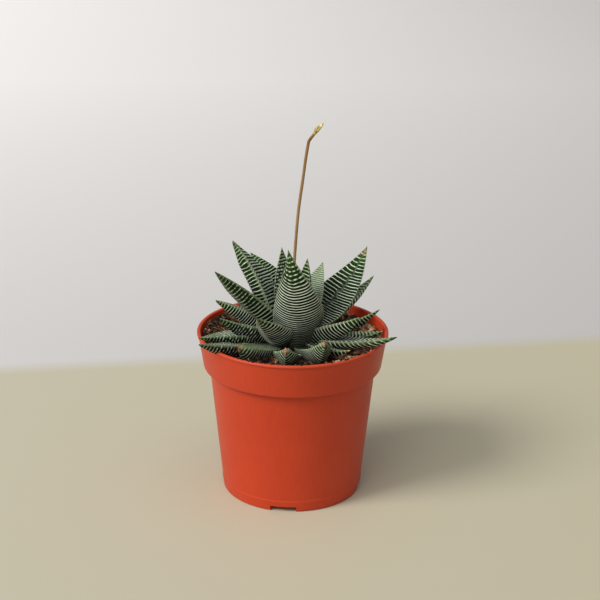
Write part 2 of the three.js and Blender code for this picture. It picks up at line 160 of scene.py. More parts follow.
# Fine relief of the leaves, with ranges as shares of the length or of the half width
FIRST_SEED = 100
SEED_STEP = 10
WIDE_LEAF = 18
WIDE_COLUMNS = 25
NARROW_COLUMNS = 19
ROWS_PER_RIDGE = 7
FINE_STEPS = 2000
RIDGE_LIFT = 0.5
RIDGE_POWER = 1.2
GREEN_RIDGE_LIFT = 0.35
MARGIN_KNOBS = (0.12, 0.2)
KNOBS_HALF_WIDTH = 0.6
TIP_KNOBS = 0.14
KNOBBLY_PART = (0.9, 0.97)
LIFTED_ROOT = (0, 0.05)
LEVEL_MARGIN = (0.86, 1)
LOWER_FACE_OFFSET = 31
FORK_SWING = 0.12
FORK_WIDTH = 0.07
HALVES_BORDER = (-0.05, 0.05)
HALVES_PARTED = (-0.25, 0.25)
BENT_FROM = (0, 0.35)
LOBE_ENDS = (0.3, 0.6)
WORN_SPOTS = (0.1, 0.7)
MIDDLE_GAP = (0.02, 0.10)
DOTTED_MARGIN = (0.35, 0.5)
LINE_SHARPNESS = 6
WHITE_ROOT = (-0.05, 0.12)
WHITE_TIP = (0.93, 1)
PALE_EDGE = (0.975, 0.998)
PALE_EDGE_FROM = (0.05, 0.2)
FRESH_BAND = 0.06
FRESH_PART_BELOW = (0.45, 0.7)
FRESH_PART_ABOVE = (0.25, 0.6)
FRESH_HALF = (-0.2, 0.35)
SPOT_END = (0.956, 0.968)
# Heights over which painted shade on the lower faces fades out above the soil
SOIL_SHADE = (SOIL_LEVEL - 1, SOIL_LEVEL + 7)

# Leaf colours; those of furrows and ridges change along the leaf
LOW_FURROW = [
    (0, (0.0025, 0.004, 0.002)), (0.4, (0.003, 0.006, 0.002)), (0.8, (0.0035, 0.008, 0.002)),
    (1, (0.020, 0.042, 0.010)),
]
HIGH_FURROW = [
    (0, (0.005, 0.010, 0.003)), (0.4, (0.009, 0.021, 0.004)), (0.8, (0.016, 0.042, 0.007)),
    (1, (0.060, 0.125, 0.028)),
]
WHITE_RIDGE = [
    (0, (0.30, 0.305, 0.26)), (0.3, (0.66, 0.69, 0.60)), (0.65, (0.84, 0.88, 0.78)), (1, (0.60, 0.74, 0.44)),
]
GREEN_TIP = (0.10, 0.16, 0.05)
DARK_TIP = (0.035, 0.022, 0.018)
BROWN_TIP = (0.22, 0.085, 0.05)
PINK_TIP = (0.42, 0.20, 0.135)
YELLOW_TIP = (0.55, 0.40, 0.18)
FRESH_GREEN = (0.070, 0.130, 0.034)
RIDGE_TINT = (0.94, 1.02, 0.92)
PLAIN_GREY = (0.20, 0.22, 0.165)
MARGIN_GREEN = (0.33, 0.42, 0.23)
# Colour of the painted shade on the leaves
DEEP_SHADE = (0.004, 0.005, 0.003)
TEXTURE_ROUGHNESS = 0.55

# What a leaf has where its row, its kind and its pattern say nothing else. Ranges are shares of its length.
DEFAULTS = dict(
    keel=0.7,  # how far the lower face narrows to a keel
    cup=0.2,  # rise of the margins
    neck=0.8,  # width of the root
    root=4,  # distance of the root from the axis
    thinning=0.75,  # how much thinner the tip is
    blunt=0,  # how much rounder the tip is
    tip=GREEN_TIP,  # colour of a dry tip
    dry=0,  # dry share at the tip
    spot=False,  # whether the dry share ends before the tip
    foot=(1, 0, 0, 1),  # painted shade at the foot: its face, how dark it is and the range where it fades
    crowding=0.12,  # how much closer the ridges stand near the root
    wobble=(0.14, 0.06),  # how far the ridges wander in long and in short waves
    sag=(0, 0),  # how far they sag on the middle line, near the root and near the tip
    slant=(0, 0),  # how far they slant on the upper and on the lower face
    forked=0,  # how many more ridges one half has
    parted=0.35,  # how far the ridges of one half stand between those of the other
    line=0.22,  # width of the white line on each ridge
    full=(1, 1),  # how much wider the lines are on the upper and on the lower face
    white=1,  # how white the lines are
    dots=(0.85, 1.1),  # range where the lines turn to dots
    dotted_margin=False,  # whether they are dots near one margin too
    fray=(0.3, 3.5, 2.1),  # how frayed the lines are below, how finely, and in how many lobes
    upper_fray=0.3,  # how frayed they are above
    plain=(0, 1, 2, 0),  # plain side below: its direction, where it begins and is full, and how dark the painted shade on it is
    plain_end=(2, 3),  # range where the plain side ends
    pale=0,  # how grey the upper face is
    fresh=0,  # how light green the upper face and the lower margins are
    fresh_from=0.93,  # where across the lower face that green begins
    light=False,  # whether both halves of the upper face are light green
)

# Kinds of leaf, by what differs from the defaults, with the thickness
KINDS = {
    # The foot values paint shade at the feet of these kinds
    "broad": dict(thick=7, keel=0.35, neck=0.9, root=10, foot=(-1, 0.5, 0.18, 0.46)),
    "clasping": dict(thick=7, root=10, foot=(-1, 0.85, 0.2, 0.38)),
    "plump": dict(
        thick=9.5, keel=0.5, neck=0.4, root=10, thinning=0.55, blunt=4.6, upper_fray=0.75,
        foot=(1, 0.92, 0.42, 0.6)),
    "thin": dict(thick=5, keel=0.6),
    "keeled": dict(thick=6.5),
    "stout": dict(thick=9.6),
    "low": dict(thick=5.2, neck=0.45),
    "deep": dict(thick=8.8, neck=0.45),
    "outer": dict(thick=8.8, root=16),
    "channelled": dict(thick=7, keel=0.65, cup=0.28),
    "folded": dict(thick=10, keel=0.65, cup=0.28),
}

# Each leaf's own pattern, and values that several leaves share
WAVY = (0.22, 0.10)
FRAYED = (0.5, 7.5, 3.2)
DASHED = (-1.2, 0.8)
PATTERNS = {
    "leaf_inner_left": dict(line=0.58, dots=(0.3, 0.5)),
    "leaf_front_centre": dict(
        crowding=0.36, sag=(0.015, 0.03), line=0.35, dots=(0.64, 0.8), white=0.92, fresh=0.16, light=True),
    "leaf_inner_back": dict(line=0.42, dots=(0.9, 1.1), white=0.9, pale=0.35, fresh=1, light=True),
    "leaf_right_large": dict(
        crowding=0.25, sag=(0, 0.015), slant=(-0.006, 0), forked=0.28, dots=(0.98, 1.1), spot=True),
    "leaf_upper_left": dict(wobble=WAVY, slant=(0.08, 0.06), line=0.26, full=(1.8, 0.85), dots=(0.85, 0.95)),
    "leaf_left_large": dict(
        slant=(0, 0.045), parted=1, full=(1, 1.08), dots=(0.76, 0.9), dotted_margin=True,
        fray=(0.3, 3.5, 4.2), plain=(-1, -0.34, -0.18, 0)),
    "leaf_front_left": dict(line=0.3, dots=(0.74, 0.9), plain=(-1, 0.3, 0.55, 0)),
    "leaf_right_front": dict(fresh=0.3, fresh_from=0.94),
    "leaf_right_back": dict(line=0.38, fresh=0.7),
    "leaf_left_middle": dict(fresh=0.4, fresh_from=0.94),
    "leaf_left_front": dict(wobble=WAVY, line=0.23, full=(1, 1.15), dots=DASHED, fray=FRAYED, fresh=0.6),
    "leaf_right_dark_tip": dict(fresh=0.5, fresh_from=0.9),
    "leaf_front_low": dict(line=0.3, fresh=0.4),
    "leaf_front_right_low": dict(
        # Its plain side below gets painted shade
        line=0.3, full=(1, 0.8), plain=(-1, 0, 0.3, 0.6), plain_end=(0.5, 0.72), fresh=0.4),
    "leaf_front_left_low": dict(
        # Its foot value paints shade on the upper face near the root
        thick=12.35, foot=(1, 0.92, 0.15, 0.33), line=0.26, full=(0.35, 1.35), fray=FRAYED, fresh=0.75,
        fresh_from=0.9, light=True),
    "leaf_right_low": dict(
        wobble=WAVY, slant=(-0.02, 0.05), line=0.28, full=(1.2, 1.25), dots=DASHED, fray=FRAYED, fresh=0.8,
        fresh_from=0.88),
    "leaf_left_low": dict(wobble=WAVY, line=0.27, full=(1.2, 1.3), dots=DASHED, fray=FRAYED, fresh=0.95),
    "leaf_right_overhanging": dict(
        slant=(0, 0.07), line=0.2, full=(1, 1.15), fray=FRAYED, fresh=0.9, fresh_from=0.8),
    "leaf_left_overhanging": dict(line=0.24, full=(1, 1.25), dots=DASHED, fray=FRAYED, white=0.95, fresh=0.7),
    "leaf_right_small": dict(line=0.17, fray=FRAYED, fresh=0.3),
}

# One leaf a row: name, azimuth, root height, lift at the root and at the tip, length, width, sweep, twist,
# kind, white ridges, tone from low and dark to high and fresh, and a dry tip's colour and share
LEAVES = [
    ("leaf_heart_back", 85, 97, 84, 90, 27, 9, 0, 0, "thin", 14, 0.9),
    ("leaf_heart_left", -170, 97, 80, 88, 25, 9, 0, 0, "thin", 14, 0.9),
    ("leaf_heart_right", -15, 97, 78, 88, 25, 8, 0, 0, "thin", 14, 0.9),
    ("leaf_heart_front", -92, 97, 74, 88, 28, 9, 0, 0, "thin", 14, 0.9),
    ("leaf_inner_right", 32.3, 96.1, 77, 86.5, 35.9, 14.6, 4.7, 4.8, "thin", 20, 0.9),
    ("leaf_inner_left", 128.9, 96.1, 73.7, 89.3, 41.4, 16, -1.7, -1.8, "thin", 24, 0.9),
    ("leaf_front_centre", -76.3, 88.8, 60, 78.5, 64.2, 27.2, -62.4, 5.1, "broad", 39, 0.6),
    ("leaf_inner_back", 53.5, 94.1, 44.1, 55.3, 38.4, 18.1, 3.9, 6.8, "thin", 34, 1),
    ("leaf_upper_left_back", 139.9, 95.5, 69.2, 37.5, 44.1, 20.7, 6.6, -18.7, "thin", 28, 1),
    ("leaf_right_large", 36.9, 92.3, 16, 52.1, 64.5, 24.6, 13.6, 18.1, "thin", 28, 0.8, PINK_TIP, 0.075),
    ("leaf_upper_left", 166.8, 93.9, 62, 57.2, 58.2, 24.8, 40.3, -15.9, "folded", 29, 0.9),
    ("leaf_left_large", -163.8, 92.2, 43.3, 41.6, 64.8, 21.6, 42.5, 0.4, "channelled", 26, 1),
    ("leaf_front_left", -115.9, 88.8, 38, 35.5, 40.3, 20.3, -0.5, 4.8, "clasping", 21, 0.4, BROWN_TIP, 0.06),
    ("leaf_right_front", -31.1, 91.1, 12.7, 37.5, 47.5, 18.9, -21.1, -9, "stout", 24, 0.3),
    ("leaf_right_back", 34.5, 90.2, 9.8, 30, 59.4, 17.6, 12.3, -17, "keeled", 25, 0.8),
    ("leaf_left_middle", -178.8, 90.3, 31.1, 26.2, 43.9, 17.3, 17.7, 10.6, "stout", 31, 0.35, DARK_TIP, 0.05),
    ("leaf_back_middle", 74, 91, 20, 26, 47, 17, 0, 0, "thin", 24, 0.6),
    ("leaf_back_left_middle", 103, 91, 20, 28, 46, 17, 0, 0, "thin", 24, 0.6),
    ("leaf_left_front", -154.4, 89.7, 11.8, 33.7, 44.5, 16.9, 8.2, 13.8, "stout", 29, 0.05),
    ("leaf_right_dark_tip", -2.9, 88.8, 4.4, 37.8, 47.1, 15.1, -1.7, -20, "low", 28, 0.5, DARK_TIP, 0.06),
    ("leaf_front_low", -95, 87, -20, 54.3, 32.5, 19, 1, -4.5, "plump", 26, 0.4, PINK_TIP, 0.05),
    ("leaf_front_right_low", -62.2, 88.6, -18, 57, 37.3, 19, -12.7, -5.4, "plump", 30, 0.3, PINK_TIP, 0.03),
    ("leaf_front_left_low", -137, 87.2, -8, 34, 34, 21.5, 15, 0, "plump", 24, 0.25, BROWN_TIP, 0.05),
    ("leaf_right_low", -17.9, 89.3, -3.9, 23.2, 48.2, 14.2, 4.1, 4.2, "deep", 25, 0.15),
    ("leaf_left_low", -164.3, 89.9, 4.2, 10.5, 52.9, 17.8, 24.2, 6.1, "deep", 32, 0.05),
    ("leaf_right_overhanging", -31.8, 90.2, -2.7, 25.4, 63.9, 13.6, -3.4, -5.2, "keeled", 24, 0.15, DARK_TIP,
     0.04),
    ("leaf_left_overhanging", -143.1, 85.5, 11, 20.7, 49.6, 15.5, 6.7, 8.8, "outer", 27, 0, BROWN_TIP, 0.03),
    ("leaf_right_small", -55, 90.5, -11, 26, 48, 8.5, 4, -9, "low", 20, 0.05, YELLOW_TIP, 0.05),
    ("leaf_back_left", 146, 90, 4, 16, 43, 14, 0, 0, "low", 22, 0.5, DARK_TIP, 0.05),
    ("leaf_back_left_low", 122, 90, 2, 12, 45, 15, 0, 0, "low", 22, 0.5),
    ("leaf_back_low", 90, 90, 2, 14, 46, 16, 0, 0, "low", 22, 0.5),
    ("leaf_back_right_low", 60, 90, 2, 12, 44, 15, 0, 0, "low", 22, 0.5, DARK_TIP, 0.04),
]
LEAF_KEYS = ("name", "azimuth", "height", "lift0", "lift1", "length", "width", "sweep", "twist", "kind",
             "ridges", "tone", "tip", "dry")

# Pebbles by their seeds, and how much of its solid's box a pebble fills
PEBBLES = {"pebble_large": 501, "pebble_small": 503}
PEBBLE_GRID = (18, 28)
PEBBLE_FILL = 0.93

# Camera, in metres and radians
CAMERA_PLACE = (0.00381, -0.85, 0.42579)
CAMERA_PITCH = 0.3564
CAMERA_ROLL = 0.009
CAMERA_LENS = 99.9
CAMERA_REACH = 20
SENSOR = 36

# Lights: name, azimuth, elevation, softness, strength and colour
SUNS = [
    ("key", 209, 40, 24, 2.0, (1.0, 0.98, 0.95)),
    ("front", 238, 44, 50, 0.95, (1.0, 0.99, 0.97)),
    ("above", 300, 76, 50, 0.40, (0.97, 0.98, 1.0)),
]
SURROUND = (0.95, 0.97, 1.0, 1)
SURROUND_STRENGTH = 0.25
FLOOR_SIZE = 3000


def smooth(low, high, value):
    """Smooth step from 0 at low to 1 at high."""
    share = np.clip((np.asarray(value, float) - low) / (high - low), 0, 1)
    return share * share * (3 - 2 * share)


def noise(x, y, seed):
    """Smooth seeded noise from -1 to 1 over a plane."""
    table = np.random.RandomState(seed).uniform(-1, 1, (NOISE_SIZE, NOISE_SIZE))
    x, y = np.broadcast_arrays(np.asarray(x, float), np.asarray(y, float))
    left = np.floor(x).astype(int)
    low = np.floor(y).astype(int)
    across = smooth(0, 1, x - left)
    up = smooth(0, 1, y - low)

    def corner(i, j):
        return table[(left + i) % NOISE_SIZE, (low + j) % NOISE_SIZE]

    bottom = corner(0, 0) * (1 - across) + corner(1, 0) * across
    top = corner(0, 1) * (1 - across) + corner(1, 1) * across
    return bottom * (1 - up) + top * up


def polar(radius, angle, height=0):
    """Points at a distance from the axis, at an angle round it and at a height."""
    return np.stack(np.broadcast_arrays(radius * np.cos(angle), radius * np.sin(angle), height), -1)


def round_steps(count):
    """Evenly spaced angles for a full turn."""
    return np.linspace(0, TURN, count, endpoint=False)


def make_mesh(name, points, faces, material, floats=None, tip=None):
    """A smooth-shaded mesh object from points in millimetres, with values for its points and a tip colour."""
    mesh = bpy.data.meshes.new(name)
    mesh.from_pydata((np.reshape(points, (-1, 3)) * MM).tolist(), [], faces)
    corners = np.empty(len(mesh.loops), int)
    mesh.loops.foreach_get("vertex_index", corners)
    for key, values in (floats or {}).items():
        values = np.ravel(values)[corners].astype(np.float32)
        mesh.attributes.new(key, "FLOAT", "CORNER").data.foreach_set("value", values)
    if tip:
        rgba = np.tile(np.array((*tip, 1), np.float32), len(corners))
        mesh.attributes.new("tip_colour", "FLOAT_COLOR", "CORNER").data.foreach_set("color", rgba)
    mesh.materials.append(material)
    shade_smooth(mesh)
    piece = bpy.data.objects.new(name, mesh)
    bpy.context.scene.collection.objects.link(piece)
    return piece


def shade_smooth(mesh):
    """Smooth shading on all faces."""
    mesh.polygons.foreach_set("use_smooth", [True] * len(mesh.polygons))
    mesh.update()


def grid_faces(rows, columns):
    """Quads between neighbouring rows of points, each row closed round."""
    index = np.arange(rows * columns).reshape(rows, columns)
    index = np.hstack([index, index[:, :1]])
    quads = np.stack([index[:-1, :-1], index[:-1, 1:], index[1:, 1:], index[1:, :-1]], axis=-1)
    return quads.reshape(-1, 4).tolist()


def tube_faces(rows, columns, reverse=False):
    """Quads between neighbouring rows of points and an end face at each end, in reverse order where asked."""
    first = list(range(columns))
    last = [(rows - 1) * columns + j for j in first]
    ends = [first, last[::-1]] if reverse else [first[::-1], last]
    return grid_faces(rows, columns) + ends


class Heap:
    """Small closed shapes that become one mesh, each with its own tone."""

    def __init__(self):
        self.points = []
        self.faces = []
        self.tones = []
        self.count = 0

    def add(self, points, faces, tone=None):
        """Adds one shape; the tone is one value or one for each point."""
        points = np.reshape(points, (-1, 3))
        self.points.append(points)
        self.faces += [[i + self.count for i in face] for face in faces]
        self.count += len(points)
        if tone is not None:
            self.tones.append(np.broadcast_to(tone, len(points)))

    def mesh(self, name, material):
        """The mesh object of all shapes."""
        floats = {"tone": np.concatenate(self.tones)} if self.tones else None
        return make_mesh(name, np.vstack(self.points), self.faces, material, floats)


@contextmanager
def editing(mesh):
    """A mesh open for editing, written back at the end."""
    work = bmesh.new()
    work.from_mesh(mesh)
    yield work
    work.to_mesh(mesh)
    work.free()


def turn_outwards(mesh):
    """Turns all faces of a closed mesh outwards."""
    with editing(mesh) as work:
        bmesh.ops.recalc_face_normals(work, faces=work.faces)


def clean_mesh(mesh):
    """Merges doubled points, drops faces without area and turns all faces outwards."""
    with editing(mesh) as work:
        bmesh.ops.remove_doubles(work, verts=work.verts, dist=MERGE_DISTANCE * MM)
        bmesh.ops.dissolve_degenerate(work, edges=work.edges, dist=LEAST_EDGE * MM)
        bmesh.ops.recalc_face_normals(work, faces=work.faces)
    shade_smooth(mesh)


def keep_part(mesh, place):
    """Keeps the connected part of a mesh that is nearest to a place."""
    with editing(mesh) as work:
        start = min(work.verts, key=lambda vertex: (vertex.co - place).length_squared)
        found = {start}
        waiting = [start]
        while waiting:
            for edge in waiting.pop().link_edges:
                for vertex in edge.verts:
                    if vertex not in found:
                        found.add(vertex)
                        waiting.append(vertex)
        bmesh.ops.delete(work, geom=[vertex for vertex in work.verts if vertex not in found], context="VERTS")


def combine(piece, other, operation, solver):
    """Joins another object to a piece or cuts it from the piece for good."""
    modifier = piece.modifiers.new("combine", "BOOLEAN")
    modifier.operation = operation
    modifier.solver = solver
    modifier.object = other
    bpy.context.view_layer.update()
    finished = bpy.data.meshes.new_from_object(piece.evaluated_get(bpy.context.evaluated_depsgraph_get()))
    piece.modifiers.clear()
    piece.data = finished


class Nodes:
    """A short way to write a material's node tree."""

    def __init__(self, name):
        self.material = bpy.data.materials.new(name)
        self.material.use_nodes = True
        self.tree = self.material.node_tree
        self.shader = self.tree.nodes["Principled BSDF"]

    def add(self, kind, **settings):
        """A new node with its settings."""
        node = self.tree.nodes.new(kind)
        for key, value in settings.items():
            setattr(node, key, value)
        return node

    def put(self, value, socket):
        """Sets a socket to a number or a colour, or links another node's output to it."""
        if isinstance(value, tuple):
            socket.default_value = (*value, 1)
        elif isinstance(value, (int, float)):
            socket.default_value = value
        else:
            self.tree.links.new(value, socket)

    def attribute(self, name, output="Fac"):
        """The value that the mesh carries under a name."""
        return self.add("ShaderNodeAttribute", attribute_name=name).outputs[output]

    def place(self):
        """The point's place in the object, in metres."""
        return self.add("ShaderNodeTexCoord").outputs["Object"]

    def noise(self, scale, detail=4, stretch=None):
        """Noise over the object, stretched where asked."""
        texture = self.add("ShaderNodeTexNoise")
        self.put(scale, texture.inputs["Scale"])
        self.put(detail, texture.inputs["Detail"])
        self.put(TEXTURE_ROUGHNESS, texture.inputs["Roughness"])
        place = self.place()
        if stretch:
            mapping = self.add("ShaderNodeMapping")
            mapping.inputs["Scale"].default_value = stretch
            self.put(place, mapping.inputs["Vector"])
            place = mapping.outputs["Vector"]
        self.put(place, texture.inputs["Vector"])
        return texture.outputs["Fac"]

    def ramp(self, value, stops):
        """A colour or a grey that depends on a value, from pairs of a value and a colour or a number."""
        ramp = self.add("ShaderNodeValToRGB")
        elements = ramp.color_ramp.elements
        while len(elements) < len(stops):
            elements.new(0.5)
        for element, (place, shade) in zip(elements, stops):
            element.position = place
            element.color = (*shade, 1) if isinstance(shade, tuple) else (shade, shade, shade, 1)
        self.put(value, ramp.inputs["Fac"])
        return ramp.outputs["Color"]

    def mix(self, factor, first, second, blend="MIX"):
        """Two colours mixed or blended."""
        node = self.add("ShaderNodeMix", data_type="RGBA", blend_type=blend)
        for value, number in ((factor, 0), (first, 6), (second, 7)):
            self.put(value, node.inputs[number])
        return node.outputs[2]

    def math(self, operation, *values, clamp=False):
        """The result of an operation on values."""
        node = self.add("ShaderNodeMath", operation=operation, use_clamp=clamp)
        for value, socket in zip(values, node.inputs):
            self.put(value, socket)
        return node.outputs[0]

    def bump(self, height, strength, distance):
        """Fine bumps on the surface."""
        node = self.add("ShaderNodeBump")
        self.put(strength, node.inputs["Strength"])
        self.put(distance, node.inputs["Distance"])
        self.put(height, node.inputs["Height"])
        self.put(node.outputs["Normal"], self.shader.inputs["Normal"])

    def base(self, colour, roughness, specular):
        """The finished material."""
        self.put(colour, self.shader.inputs["Base Color"])
        self.put(roughness, self.shader.inputs["Roughness"])
        self.put(specular, self.shader.inputs["Specular IOR Level"])
        return self.material


def leaf_material():
    """Dark green furrows and white ridges, greyer low down, with a pale margin and a dry tip, and painted
    shade near the soil, at the feet of some leaves and on some plain sides.
    """
    n = Nodes("leaf_skin")
    share = n.attribute("share")
    tone = n.attribute("tone")
    low = n.ramp(share, LOW_FURROW)
    high = n.ramp(share, HIGH_FURROW)
    furrow = n.mix(n.attribute("fresh"), n.mix(tone, low, high), FRESH_GREEN)
    mottle = n.ramp(n.noise(260, 5), [(0.3, 0.55), (0.7, 1.3)])
    furrow = n.mix(0.6, furrow, mottle, "MULTIPLY")
    ridge = n.ramp(share, WHITE_RIDGE)
    grain = n.ramp(n.noise(900, 3), [(0.3, (0.6, 0.62, 0.55)), (0.7, 1.15)])
    ridge = n.mix(0.3, ridge, grain, "MULTIPLY")
    ridge = n.mix(tone, ridge, RIDGE_TINT, "MULTIPLY")
    angle = n.math("MULTIPLY", n.attribute("phase"), TURN)
    crest = n.math("MULTIPLY_ADD", n.math("COSINE", angle), -0.5, 0.5)
    above = n.math("SUBTRACT", crest, n.attribute("line"))
    line = n.math("MULTIPLY_ADD", above, LINE_SHARPNESS, 0.5, clamp=True)
    band = n.math("MULTIPLY", line, n.attribute("strength"))
    skin = n.mix(band, furrow, ridge)
    skin = n.mix(n.attribute("grey"), skin, PLAIN_GREY)
    skin = n.mix(n.attribute("margin"), skin, MARGIN_GREEN)
    dry = n.mix(0.8, n.attribute("tip_colour", "Color"), mottle, "MULTIPLY")
    patches = n.ramp(n.noise(800, 3), [(0.40, 0.2), (0.54, 1)])
    skin = n.mix(n.math("MULTIPLY", n.attribute("dry"), patches), skin, dry)
    # Painted shade: the skin is darkened towards DEEP_SHADE where the shade value says
    skin = n.mix(n.attribute("shade"), skin, DEEP_SHADE)
    n.bump(n.noise(2600, 3), 0.12, 0.0002)
    roughness = n.ramp(band, [(0, 0.55), (1, 0.68)])
    # Where shade is painted, the specular is turned down with it
    lit = n.math("SUBTRACT", 1, n.attribute("shade"))
    specular = n.math("MULTIPLY", n.ramp(band, [(0, 0.05), (1, 0.14)]), lit)
    return n.base(skin, roughness, specular)


def pot_material():
    """Injection-moulded orange-red plastic: slight mottle, fine scuffs and a soft sheen, with a painted
    highlight along the lip and painted shade on the inner wall.
    """
    n = Nodes("pot_plastic")
    colour = n.ramp(n.noise(22, 5), [(0.3, (0.54, 0.047, 0.013)), (0.7, (0.59, 0.056, 0.016))])
    scuffs = n.ramp(n.noise(900, 2, (1, 1, 0.05)), [(0.4, 0.5), (0.6, 1.2)])
    colour = n.mix(0.06, colour, scuffs, "MULTIPLY")
    # Painted highlight: a paler colour on the lip and on the pip
    colour = n.mix(n.math("MULTIPLY", n.attribute("lip"), 0.12), colour, (0.80, 0.19, 0.10))
    # Painted shade: the inside of the pot is darkened where the inside value is set
    colour = n.mix(n.attribute("inside"), colour, (0.30, 0.030, 0.018))
    roughness = n.ramp(n.noise(60, 6), [(0.3, 0.36), (0.7, 0.46)])
    n.bump(n.noise(700, 3), 0.05, 0.0002)
    return n.base(colour, roughness, 0.28)


def soil_material(name, spread):
    """Peat: dark brown with red-brown, tan and a few pale specks, by the piece's own tone."""
    n = Nodes(name)
    tone = n.math("MULTIPLY", n.attribute("tone"), spread)
    shade = n.math("ADD", tone, n.math("MULTIPLY", n.noise(420, 6), 1 - spread))
    colour = n.ramp(shade, [
        (0.18, (0.008, 0.005, 0.004)), (0.42, (0.036, 0.016, 0.009)), (0.60, (0.13, 0.053, 0.026)),
        (0.76, (0.36, 0.18, 0.085)), (0.93, (0.62, 0.48, 0.33)),
    ])
    n.bump(n.noise(1500, 5), 0.5, 0.0006)
    return n.base(colour, 0.9, 0.2)


def stem_material():
    """Corky pale green-brown stem."""
    n = Nodes("stem_cork")
    cork = n.noise(500, 6, (1, 1, 0.3))
    n.bump(n.noise(800, 5), 0.4, 0.0004)
    return n.base(n.ramp(cork, [(0.3, (0.10, 0.085, 0.04)), (0.7, (0.26, 0.24, 0.13))]), 0.75, 0.3)


def stalk_material():
    """Dry tan stalk, darker and redder below its bend, with fine lengthwise fibres."""
    n = Nodes("dry_stalk")
    colour = n.ramp(n.attribute("share"), [
        (0, (0.38, 0.25, 0.13)), (0.45, (0.34, 0.20, 0.085)), (0.72, (0.29, 0.145, 0.045)),
        (0.9, (0.22, 0.092, 0.022)), (1, (0.30, 0.155, 0.05)),
    ])
    fibre = n.noise(3000, 4, (1, 1, 0.02))
    streaks = n.ramp(fibre, [(0.3, (0.65, 0.62, 0.6)), (0.7, (1.3, 1.28, 1.25))])
    n.bump(fibre, 0.3, 0.0002)
    return n.base(n.mix(0.5, colour, streaks, "MULTIPLY"), 0.6, 0.35)


def bud_material():
    """Papery dried flower: straw yellow with olive-brown patches."""
    n = Nodes("dried_flower")
    patches = n.math("MULTIPLY", n.noise(520, 3), 0.75)
    shade = n.math("ADD", patches, n.math("MULTIPLY", n.attribute("tone"), 0.35))
    colour = n.ramp(shade, [
        (0.42, (0.16, 0.11, 0.02)), (0.52, (0.42, 0.31, 0.08)), (0.62, (0.74, 0.62, 0.28)),
        (0.8, (0.90, 0.82, 0.58)),
    ])
    n.bump(n.noise(2500, 4), 0.3, 0.0002)
    return n.base(colour, 0.65, 0.3)


def pebble_material():
    """Pale yellow grit with rusty grains."""
    n = Nodes("pebble_grit")
    grit = n.noise(700, 5)
    colour = n.ramp(grit, [(0.3, (0.22, 0.12, 0.045)), (0.5, (0.50, 0.36, 0.16)), (0.75, (0.72, 0.60, 0.36))])
    n.bump(n.noise(1200, 5), 0.5, 0.0005)
    return n.base(colour, 0.8, 0.3)


def floor_material():
    """Plain pale floor, warm near the object, with a paler, cooler far part; both parts darken to the right
    as painted shade, and the far part gets paler further back.
    """
    n = Nodes("pale_floor")
    place = n.add("ShaderNodeSeparateXYZ")
    n.put(n.place(), place.inputs[0])
    across = place.outputs["X"]
    back = place.outputs["Y"]
    # Painted shade: both parts darken towards the right, away from the light
    near = n.math("MULTIPLY_ADD", across, 2, 0.5)
    near = n.ramp(near, [(0, (0.60, 0.56, 0.43)), (0.9, (0.54, 0.50, 0.36))])
    far = n.math("MULTIPLY_ADD", across, 1.2, 0.5)
    far = n.ramp(far, [(0, (0.89, 0.87, 0.85)), (1, (0.55, 0.535, 0.515))])
    far = n.mix(1, far, n.ramp(back, [(0.2, 0.86), (1, 1.12)]), "MULTIPLY")
    border = n.ramp(n.math("MULTIPLY_ADD", across, -0.161, back), [(0.180, 0), (0.198, 1)])
    return n.base(n.mix(border, near, far), 0.55, 0.2)


def section_columns(count):
    """Places across and faces round a leaf's section, closer together near its margins."""
    upper = np.sin(np.linspace(-1, 1, count) * math.pi / 2)
    across = np.concatenate([upper, [1], upper[::-1], [-1]])
    face = np.concatenate([np.ones(count), [0], -np.ones(count), [0]])
    return across, face


def ripples(phase):
    """Uneven steps along a leaf, from -1 to 1."""
    return np.sin(phase * 2.1) * np.cos(phase * 0.77)


